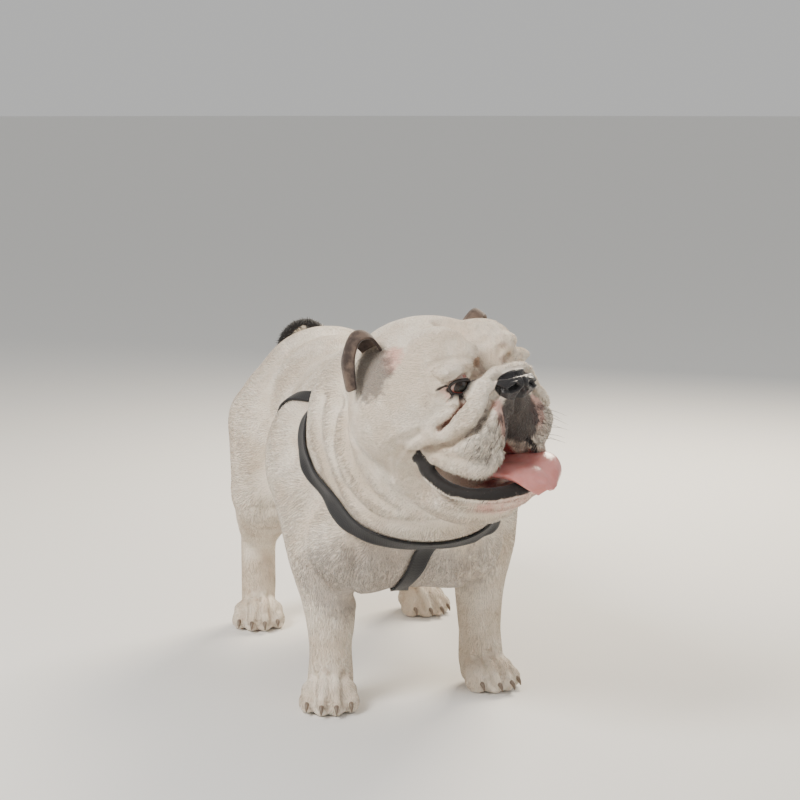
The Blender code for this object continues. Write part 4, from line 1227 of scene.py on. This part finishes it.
def coat_tree():
    """Named inputs: Where, the attribute that says where fur grows; Spacing, Width, Seed, Tuft, Finish."""
    tree = new_coat_tree()
    given = tree.nodes.new("NodeGroupInput").outputs
    points, normal = scattered(tree, given)
    blade = add_node(tree, "GeometryNodeObjectInfo", {"Object": given["Tuft"]})
    tufts = add_node(tree, "GeometryNodeInstanceOnPoints", {
        "Points": points, "Instance": blade.outputs["Geometry"], "Rotation": laid_down(tree, normal),
        "Scale": tuft_size(tree, given["Width"])})
    real = add_node(tree, "GeometryNodeRealizeInstances", {"Geometry": tufts.outputs[0]})
    mapped = stored(tree, real.outputs[0], "OFBake", root_patch(tree), "CORNER", "FLOAT2")
    dressed = add_node(tree, "GeometryNodeSetMaterial", {"Geometry": mapped, "Material": given["Finish"]})
    tree.links.new(dressed.outputs[0], tree.nodes.new("NodeGroupOutput").inputs[0])
    return tree


def vector_math(tree, operation, first, second):
    """Two vectors added, subtracted or multiplied."""
    return add_node(tree, "ShaderNodeVectorMath", {0: first, 1: second}, operation=operation).outputs[0]


def named(tree, kind, name):
    """A named attribute of the geometry."""
    made = add_node(tree, "GeometryNodeInputNamedAttribute", {"Name": name}, data_type=kind)
    return made.outputs["Attribute"]


def stored(tree, geometry, name, value, domain, kind="FLOAT_VECTOR"):
    """The geometry with a value kept on it as a named attribute."""
    made = add_node(tree, "GeometryNodeStoreNamedAttribute", {
        "Geometry": geometry, "Name": name, "Value": value}, data_type=kind, domain=domain)
    return made.outputs[0]


def random_between(tree, low, high, seed):
    made = add_node(tree, "FunctionNodeRandomValue", data_type="FLOAT")
    made.inputs[2].default_value = low
    made.inputs[3].default_value = high
    made.inputs["Seed"].default_value = seed
    return made.outputs[1]


def grow(name, source, tree, values):
    """The tufts that the tree grows on a copy of the source mesh, as a plain mesh."""
    obj = new_object(name, source.copy())
    modifier = obj.modifiers.new("Coat", "NODES")
    modifier.node_group = tree
    for item in tree.interface.items_tree:
        if item.in_out == "INPUT" and item.name in values:
            modifier[item.identifier] = values[item.name]
    return baked(obj)


def tuft_material():
    """Tufts take the colour of the skin at their roots, with painted shade darkening them there and painted
    light brightening their tips.
    """
    material, tree, shader = new_material("fur", Sheen_Weight=0.3, Sheen_Roughness=0.4,
                                          Specular_IOR_Level=0.3, Roughness=0.72)
    height = add_node(tree, "ShaderNodeSeparateXYZ", {0: attribute_vector(tree, "blade")}).outputs[0]
    # painted shade at the root of each tuft and painted light at its tip, plus a random tone per tuft
    light = arithmetic(tree, "ADD", remap(tree, height, 0.0, 1.0, 0.80, 1.08),
                       remap(tree, attribute_value(tree, "shade"), 0.0, 1.0, -0.10, 0.10))
    value = add_node(tree, "ShaderNodeHueSaturation", {"Color": coat_colour(tree), "Value": light})
    tree.links.new(value.outputs[0], shader.inputs["Base Color"])
    return material


# %% [markdown]
# The tree is run once for each region of the body. The regions keep each piece of fur small enough to handle,
# and let the tufts stand closest on the face, where they are shortest.

# %% Coat
world = mesh_array(COAT_SOURCE, "co")
furry = np.clip(1 - 1.6 * bare, 0, 1) * smooth_step(0.004, 0.012, world[:, 2])
off_head = 1 - on_head
trunk = off_head * (1 - legs)
forward = -world[:, 1]
REGIONS = {
    "head": on_head,
    "legs_front": off_head * legs * (forward > 0),
    "legs_hind": off_head * legs * (forward <= 0),
    "chest_right": trunk * (forward > 0.03) * (world[:, 0] <= 0.004),
    "chest_left": trunk * (forward > 0.03) * (world[:, 0] > 0.004),
    "loin_right": trunk * (forward <= 0.03) * (world[:, 0] <= 0.004),
    "loin_left": trunk * (forward <= 0.03) * (world[:, 0] > 0.004),
}
# spacing of the tufts and their width
TUFTS = {"head": (0.00120, 0.0007), "legs": (0.0016, 0.0009), "chest": (0.0018, 0.0010),
         "loin": (0.0019, 0.0010)}
coat_nodes = coat_tree()
blade_object = tuft_blade()
fur = tuft_material()
for region, share in REGIONS.items():
    add_attribute(COAT_SOURCE, "fur_" + region, np.clip(share, 0, 1) * furry)
for seed, region in enumerate(REGIONS):
    spacing, width = TUFTS[region.split("_")[0]]
    coat = grow("coat", COAT_SOURCE, coat_nodes, {
        "Where": "fur_" + region, "Spacing": spacing, "Width": width, "Seed": seed + 1, "Tuft": blade_object,
        "Finish": fur})
    piece = add_piece("coat_" + region, coat, fur)
    print(piece.name, "triangles", len(coat.polygons))
bpy.data.objects.remove(blade_object)

# %% [markdown]
# An eye is a ball with a bulging cornea. Its colours could be an image, but rings round the line of gaze need
# only the angle from it, kept as an attribute. A black wet rim lies round each opening.

# %% Eyes
GAZE = (0.37, 0.825, -0.36)
CORNEA_HALF = 0.80
CORNEA_BULGE = 0.0011
IRIS_HALF = 0.72
PUPIL_HALF = 0.36


def eye_mesh(side):
    """A fine ball round the line of gaze. The polar angle is kept as an attribute."""
    mesh = unit_ball(96, 72)
    turn = (HEAD.to_3x3() @ at(side * GAZE[0], GAZE[1], GAZE[2])).to_track_quat("Z", "Y").to_matrix().to_4x4()
    points = mesh_array(mesh, "co")
    polar = np.arccos(np.clip(points[:, 2], -1, 1))
    radius = EYE_RADIUS + CORNEA_BULGE * (1 - smooth_step(0.0, CORNEA_HALF, polar))
    set_places(mesh, points * radius[:, None])
    mesh.transform(Matrix.Translation(HEAD @ at(side * EYE[0], EYE[1], EYE[2])) @ turn)
    add_attribute(mesh, "polar", polar)
    places = head_places(mesh_array(mesh, "co"))
    outside = opening_distance(places, side)[0]
    low = 1 - smooth_step(-0.006, 0.001, places[:, 2] - EYE[2])
    add_attribute(mesh, "haw", smooth_step(-0.0030, -0.0008, outside) * low)
    return mesh


def eye_material():
    material, tree, shader = new_material("eye", Roughness=0.16, Coat_Weight=0.45, Coat_Roughness=0.03,
                                          Specular_IOR_Level=0.25)
    polar = attribute_value(tree, "polar")
    place = add_node(tree, "ShaderNodeTexCoord").outputs["Object"]
    fibres = remap(tree, noise(tree, place, 900.0, 2.0), 0.3, 0.7)
    iris = mixed(tree, fibres, (0.010, 0.005, 0.004), (0.028, 0.012, 0.006))
    veins = remap(tree, noise(tree, place, 260.0, 4.0), 0.45, 0.7)
    white = mixed(tree, veins, (0.44, 0.33, 0.29), (0.38, 0.11, 0.085))
    colour = mixed(tree, remap(tree, polar, IRIS_HALF - 0.03, IRIS_HALF + 0.05), iris, white)
    ring = arithmetic(tree, "SUBTRACT", remap(tree, polar, IRIS_HALF - 0.14, IRIS_HALF - 0.02),
                      remap(tree, polar, IRIS_HALF + 0.02, IRIS_HALF + 0.10))
    colour = mixed(tree, ring, colour, (0.012, 0.007, 0.006))
    past_pupil = remap(tree, polar, PUPIL_HALF - 0.02, PUPIL_HALF + 0.02)
    colour = mixed(tree, past_pupil, (0.002, 0.002, 0.002), colour)
    colour = mixed(tree, attribute_value(tree, "haw"), colour, (0.42, 0.10, 0.085))
    tree.links.new(colour, shader.inputs["Base Color"])
    return material


RIM_LIFT = 0.0009
RIM_RADIUS = 0.0013
RIM_STEPS = 48


def opening_edge(side, turn):
    """A place on the edge of the eye opening, in the head's frame, turn going once round it."""
    across = math.cos(turn)
    yaw = math.radians(OPENING_MIDDLE + OPENING_HALF * across)
    rise = math.radians(OPENING_RISE + OPENING_SLOPE * across + OPENING_HEIGHT * math.sin(turn))
    ahead, out = math.cos(yaw) * math.cos(rise), math.sin(yaw) * math.cos(rise)
    outward = EYE_OUT * ahead + EYE_AHEAD * out
    away = np.array((side * outward, EYE_AHEAD * ahead - EYE_OUT * out, math.sin(rise)))
    return Vector(EYE) * Vector((side, 1, 1)) + Vector(away) * (EYE_RADIUS + RIM_LIFT)


def lid_rim(side):
    """A thin closed tube along the edge of the eye opening."""
    turns = [2 * math.pi * i / RIM_STEPS for i in range(RIM_STEPS + 1)]
    places = [HEAD @ at(*opening_edge(side, turn)) for turn in turns]
    return tube_mesh(places, [RIM_RADIUS] * len(places))


eye_finish = eye_material()
rim_finish = new_material("lid_rims", Base_Color=(0.016, 0.010, 0.009), Roughness=0.28,
                          Specular_IOR_Level=0.6)[0]
for side, word in ((1, "left"), (-1, "right")):
    ball = add_piece("eyeball_" + word, eye_mesh(side), eye_finish, "eye_" + word)
    add_piece("lid_rim_" + word, lid_rim(side), rim_finish)
print("eyes set")

# %% [markdown]
# An ear is a thin fold of skin over gristle. It could be bent out of a flat shape, but a grid of places on
# smooth curves, the same as those of its solid and with more rows, gives the fold directly. The sheet then
# gets its thickness.

# %% Sheets
def sheet(rows, thickness):
    """A closed solid from rows of places."""
    bm = bmesh.new()
    grid = [[bm.verts.new(place) for place in row] for row in rows]
    for row, after in zip(grid[:-1], grid[1:]):
        for i in range(len(row) - 1):
            bm.faces.new((row[i], row[i + 1], after[i + 1], after[i]))
    mesh = bpy.data.meshes.new("sheet")
    bm.to_mesh(mesh)
    bm.free()
    obj = new_object("sheet", mesh)
    solidify = obj.modifiers.new("Thickness", "SOLIDIFY")
    solidify.thickness = thickness
    solidify.offset = 0
    solidify.use_even_offset = True
    return baked(obj)


def between(points, share, ring=False):
    """The place at a share from 0 to 1 along the points, on a smooth curve through them."""
    count = len(points)
    spans = count if ring else count - 1
    i = math.floor(share * spans) if ring else max(0, min(int(share * spans), spans - 1))
    t = share * spans - i
    near = [k % count if ring else max(0, min(spans, k)) for k in range(i - 1, i + 3)]
    a, b, c, d = (Vector(points[k]) for k in near)
    square, cube = 2 * a - 5 * b + 4 * c - d, 3 * b - 3 * c + d - a
    return 0.5 * (2 * b + (c - a) * t + square * t * t + cube * t ** 3)


# %% Ears
EAR_THICKNESS = 0.0028
LEFT_EAR_FORWARD = 0.009
EAR_ROWS = 40
EAR_COLUMNS = 21


# The ear's outer rim, its hollow and its inner rim, from the root to the tip
EAR_RIM = ((0.067, -0.006, 0.050), (0.079, -0.006, 0.064), (0.090, -0.012, 0.063),
           (0.095, -0.017, 0.045), (0.093, -0.019, 0.014))
EAR_HOLLOW = ((0.062, -0.018, 0.055), (0.076, -0.020, 0.070), (0.089, -0.025, 0.069),
              (0.097, -0.028, 0.046), (0.095, -0.027, 0.011))
EAR_INNER = ((0.064, -0.034, 0.044), (0.074, -0.036, 0.054), (0.085, -0.037, 0.055),
             (0.094, -0.036, 0.040), (0.094, -0.032, 0.013))


def ear(side):
    """An ear of the rose shape. The left one is carried a little further forward."""
    advance = LEFT_EAR_FORWARD if side > 0 else 0
    rows = []
    for i in range(EAR_ROWS):
        share = i / (EAR_ROWS - 1)
        across = [between(line, share) for line in (EAR_RIM, EAR_HOLLOW, EAR_INNER)]
        row = []
        for j in range(EAR_COLUMNS):
            left, forward, up = between(across, j / (EAR_COLUMNS - 1))
            row.append(HEAD @ at(side * left, forward + advance, up))
        rows.append(row)
    return sheet(rows, EAR_THICKNESS)


def rounded(mesh, levels):
    obj = new_object("rounded", mesh)
    soften = obj.modifiers.new("Round", "SUBSURF")
    soften.levels = soften.render_levels = levels
    return baked(obj)


def ear_material():
    material, tree, shader = new_material("ear", Sheen_Weight=0.25, Sheen_Roughness=0.4, Roughness=0.78,
                                          Specular_IOR_Level=0.3)
    place = add_node(tree, "ShaderNodeTexCoord").outputs["Object"]
    patches = noise(tree, place, 70.0, 4.0)
    colour = mixed(tree, remap(tree, patches, 0.35, 0.65), (0.045, 0.031, 0.026), (0.150, 0.105, 0.080))
    tree.links.new(colour, shader.inputs["Base Color"])
    height = noise(tree, place, 900.0, 3.0)
    bump = add_node(tree, "ShaderNodeBump", {"Height": height, "Strength": 0.5, "Distance": 0.001})
    tree.links.new(bump.outputs["Normal"], shader.inputs["Normal"])
    return material


ear_finish = ear_material()
for side, word in ((1, "left"), (-1, "right")):
    piece = add_piece("pinna_" + word, ear(side), ear_finish, "ear_" + word)

# %% [markdown]
# The tongue is a broad wet sheet with a groove down its middle. It widens past the lips, tilts to one side
# and turns down at its tip. It is made as the ears are, and a subdivision rounds its edges.

# %% Tongue
TONGUE_ROWS = 44
TONGUE_COLUMNS = 27
TONGUE_THICKNESS = 0.007


TONGUE = ((0.000, 0.050, -0.073), (0.004, 0.085, -0.069), (0.008, 0.112, -0.0665),
          (0.011, 0.129, -0.070), (0.013, 0.140, -0.080), (0.013, 0.144, -0.090))
TONGUE_HALF_WIDTH = (0.024, 0.030, 0.034, 0.033, 0.026, 0.012)
TONGUE_TILT = math.radians(9)


def tongue():
    rows = []
    widths = [(w, 0, 0) for w in TONGUE_HALF_WIDTH]
    for i in range(TONGUE_ROWS):
        share = i / (TONGUE_ROWS - 1)
        centre = between(TONGUE, share)
        half = between(widths, share)[0]
        row = []
        for j in range(TONGUE_COLUMNS):
            across = 2 * j / (TONGUE_COLUMNS - 1) - 1
            groove = -0.0035 * (1 - min(1, abs(across) * 2.2)) - 0.004 * across ** 4
            left = centre[0] + half * across * math.cos(TONGUE_TILT)
            up = centre[2] + half * across * math.sin(TONGUE_TILT) + groove
            row.append(HEAD @ at(left, centre[1] - 0.010 * across * across * share, up))
        rows.append(row)
    return sheet(rows, TONGUE_THICKNESS)


def tongue_material():
    material, tree, shader = new_material("tongue", Subsurface_Weight=0.25, Subsurface_Scale=0.004,
                                          Specular_IOR_Level=0.55, Coat_Weight=0.35, Coat_Roughness=0.15)
    place = add_node(tree, "ShaderNodeTexCoord").outputs["Object"]
    blotches = remap(tree, noise(tree, place, 45.0, 3.0), 0.35, 0.65)
    colour = mixed(tree, blotches, (0.62, 0.215, 0.19), (0.72, 0.30, 0.27))
    tree.links.new(colour, shader.inputs["Base Color"])
    shader.inputs["Roughness"].default_value = 0.32
    bumps = add_node(tree, "ShaderNodeTexVoronoi", {"Vector": place, "Scale": 900.0}).outputs["Distance"]
    bump = add_node(tree, "ShaderNodeBump", {"Height": bumps, "Strength": 0.30, "Distance": 0.0006})
    tree.links.new(bump.outputs["Normal"], shader.inputs["Normal"])
    return material


tongue_piece = add_piece("tongue_skin", rounded(tongue(), 1), tongue_material(), "tongue")
print("ears and tongue set")

# %% [markdown]
# The harness is flat webbing, which bends easily one way and hardly the other. It could be a bent strip, but
# it has to follow the body, so rows of places are found by casting rays inward, eased along the strap so that
# it spans small hollows, and then given thickness.

# %% Harness
WEB_THICKNESS = 0.0022
WEB_LIFT = 0.0022
WEB_COLUMNS = 9
HARNESS_CENTRE = at(0.004, 0.120, 0.270)
COLLAR = ((0.000, 0.118, 0.400), (-0.055, 0.120, 0.385), (-0.092, 0.128, 0.345), (-0.108, 0.140, 0.310),
          (-0.109, 0.157, 0.280), (-0.098, 0.181, 0.253), (-0.0765, 0.212, 0.229), (-0.030, 0.243, 0.207),
          (0.008, 0.250, 0.200), (0.050, 0.238, 0.206), (0.088, 0.205, 0.220), (0.112, 0.165, 0.245),
          (0.116, 0.140, 0.285), (0.092, 0.126, 0.345), (0.055, 0.120, 0.385))
# The girth hangs from the collar and drops behind the shoulders. It is narrower than its solid and lies
# higher on the shoulder.
GIRTH_SIDE = ((0.080, 0.120, 0.352), (0.090, 0.106, 0.338), (0.102, 0.084, 0.326), (0.110, 0.060, 0.316),
              (0.116, 0.040, 0.296), (0.120, 0.030, 0.250), (0.112, 0.022, 0.200), (0.070, 0.015, 0.150))
GIRTH = GIRTH_SIDE + ((0, 0.012, 0.130),) + mirrored(GIRTH_SIDE[::-1])
CENTRE_STRAP = ((0.006, 0.250, 0.192), (0.000, 0.235, 0.155), (-0.010, 0.200, 0.125), (0.000, 0.150, 0.118),
                (0.000, 0.080, 0.120), (0.000, 0.026, 0.127))


def laid_strap(tree, path, width, rows, ring=False, easing=3):
    """A grid of places on the skin along the path, eased along its length."""
    grid = np.zeros((rows, WEB_COLUMNS, 3))
    for i in range(rows):
        share = i / (rows if ring else rows - 1)
        spot = at(*between(path, share, ring))
        along = at(*between(path, share + 0.01, ring)) - at(*between(path, share - 0.01, ring))
        side = along.cross(spot - HARNESS_CENTRE).normalized()
        out = side.cross(along).normalized()
        for j in range(WEB_COLUMNS):
            start = spot + side * width * (j / (WEB_COLUMNS - 1) - 0.5) + out * 0.06
            place = tree.ray_cast(start, -out)[0]
            grid[i, j] = (place or spot) + out * (WEB_LIFT + WEB_THICKNESS / 2)
    for step in range(easing):
        before = np.roll(grid, 1, 0) if ring else np.concatenate([grid[:1], grid[:-1]])
        after = np.roll(grid, -1, 0) if ring else np.concatenate([grid[1:], grid[-1:]])
        grid = (before + 2 * grid + after) / 4
    if ring:
        grid = np.concatenate([grid, grid[:1]])
    return [[Vector(place) for place in row] for row in grid]


def woven(rows):
    """The strap's solid, with a map in metres for its weave: across by along."""
    mesh = sheet(rows, WEB_THICKNESS)
    places = np.array([[tuple(v) for v in row] for row in rows])
    middle = places[:, len(places[0]) // 2]
    run = np.concatenate([[0], np.cumsum(np.linalg.norm(np.diff(middle, axis=0), axis=1))])
    points = mesh_array(mesh, "co")
    nearest = np.array([np.argmin(((middle - p) ** 2).sum(1)) for p in points])
    side = places[:, -1] - places[:, 0]
    side /= np.linalg.norm(side, axis=1)[:, None]
    across = ((points - middle[nearest]) * side[nearest]).sum(1)
    add_attribute(mesh, "across", across)
    add_attribute(mesh, "along", run[nearest])
    return mesh


def web_material():
    material, tree, shader = new_material("webbing", Roughness=0.7, Sheen_Weight=0.15, Specular_IOR_Level=0.3)
    across = attribute_value(tree, "across")
    along = attribute_value(tree, "along")
    ribs = arithmetic(tree, "SINE", arithmetic(tree, "MULTIPLY", across, 2 * math.pi / 0.0016), 0.0)
    rows = arithmetic(tree, "SINE", arithmetic(tree, "MULTIPLY", along, 2 * math.pi / 0.0024), 0.0)
    weave = remap(tree, arithmetic(tree, "ADD", ribs, arithmetic(tree, "MULTIPLY", rows, 0.6)), -1.6, 1.6)
    black = mixed(tree, weave, (0.008, 0.008, 0.009), (0.030, 0.029, 0.030))
    tree.links.new(black, shader.inputs["Base Color"])
    bump = add_node(tree, "ShaderNodeBump", {"Height": weave, "Strength": 0.6, "Distance": 0.0004})
    tree.links.new(bump.outputs["Normal"], shader.inputs["Normal"])
    return material


skin_tree = surface_tree(COAT_SOURCE)
web_finish = web_material()
# name, path, width, rows, whether it closes
STRAPS = (("collar", COLLAR, 0.020, 220, True), ("girth", GIRTH, 0.014, 200, False),
          ("centre_strap", CENTRE_STRAP, 0.020, 90, False))
for name, path, width, count, ring in STRAPS:
    mesh = woven(laid_strap(skin_tree, path, width, count, ring))
    piece = add_piece("web_" + name, mesh, web_finish, "harness_" + name)
print("harness laid")

# %% [markdown]
# Last come the claws, four to a paw, and the whiskers.

# %% Claws and whiskers
CLAW_RADII = (0.0030, 0.0027, 0.0019, 0.0006)


def joined(meshes, name):
    bm = bmesh.new()
    for mesh in meshes:
        bm.from_mesh(mesh)
    whole = bpy.data.meshes.new(name)
    bm.to_mesh(whole)
    bm.free()
    return whole


def claws():
    made = []
    for paws in (FRONT_PAWS, HIND_PAWS):
        for place, heading in paws.values():
            paw = paw_frame(place, heading)
            for left, ahead in TOES:
                path = ((left, ahead + 0.009, 0.0125), (left * 1.02, ahead + 0.0145, 0.0120),
                        (left * 1.04, ahead + 0.0185, 0.0092), (left * 1.05, ahead + 0.0205, 0.0048))
                made.append(tube_mesh([paw @ at(*p) for p in path], CLAW_RADII))
    return joined(made, "claws")


def claw_material():
    material, tree, shader = new_material("claws", Roughness=0.38)
    place = add_node(tree, "ShaderNodeTexCoord").outputs["Object"]
    colour = mixed(tree, noise(tree, place, 120.0), (0.10, 0.070, 0.048), (0.26, 0.20, 0.15))
    tree.links.new(colour, shader.inputs["Base Color"])
    return material


WHISKER_ROOTS = ((0.034, 0.113, -0.020), (0.044, 0.106, -0.022), (0.030, 0.117, -0.030),
                 (0.041, 0.109, -0.034), (0.050, 0.100, -0.034), (0.028, 0.117, -0.042),
                 (0.040, 0.109, -0.046), (0.051, 0.098, -0.044))
WHISKER_DROOP = Vector((0, 0, -0.004))


def whiskers(tree):
    made = []
    for side in (1, -1):
        for k, (left, ahead, up) in enumerate(WHISKER_ROOTS):
            start = tree.find_nearest(HEAD @ at(side * left, ahead, up))[0]
            length = 0.020 + 0.0016 * (k * 5 % 7)
            out = HEAD.to_3x3() @ at(side * 0.80, 0.42 - 0.06 * (k % 3), -0.30 + 0.07 * (k % 4))
            out.normalize()
            middle = start + out * length * 0.5 + WHISKER_DROOP * 0.25
            places = [start - out * 0.001, middle, start + out * length + WHISKER_DROOP]
            made.append(tube_mesh(places, (0.00028, 0.00020, 0.00006), 1))
    return joined(made, "whiskers")


add_piece("claws", claws(), claw_material())
whisker_finish = new_material("whiskers", Base_Color=(0.055, 0.042, 0.036), Roughness=0.5)[0]
add_piece("whiskers", whiskers(skin_tree), whisker_finish)
print("claws and whiskers set")
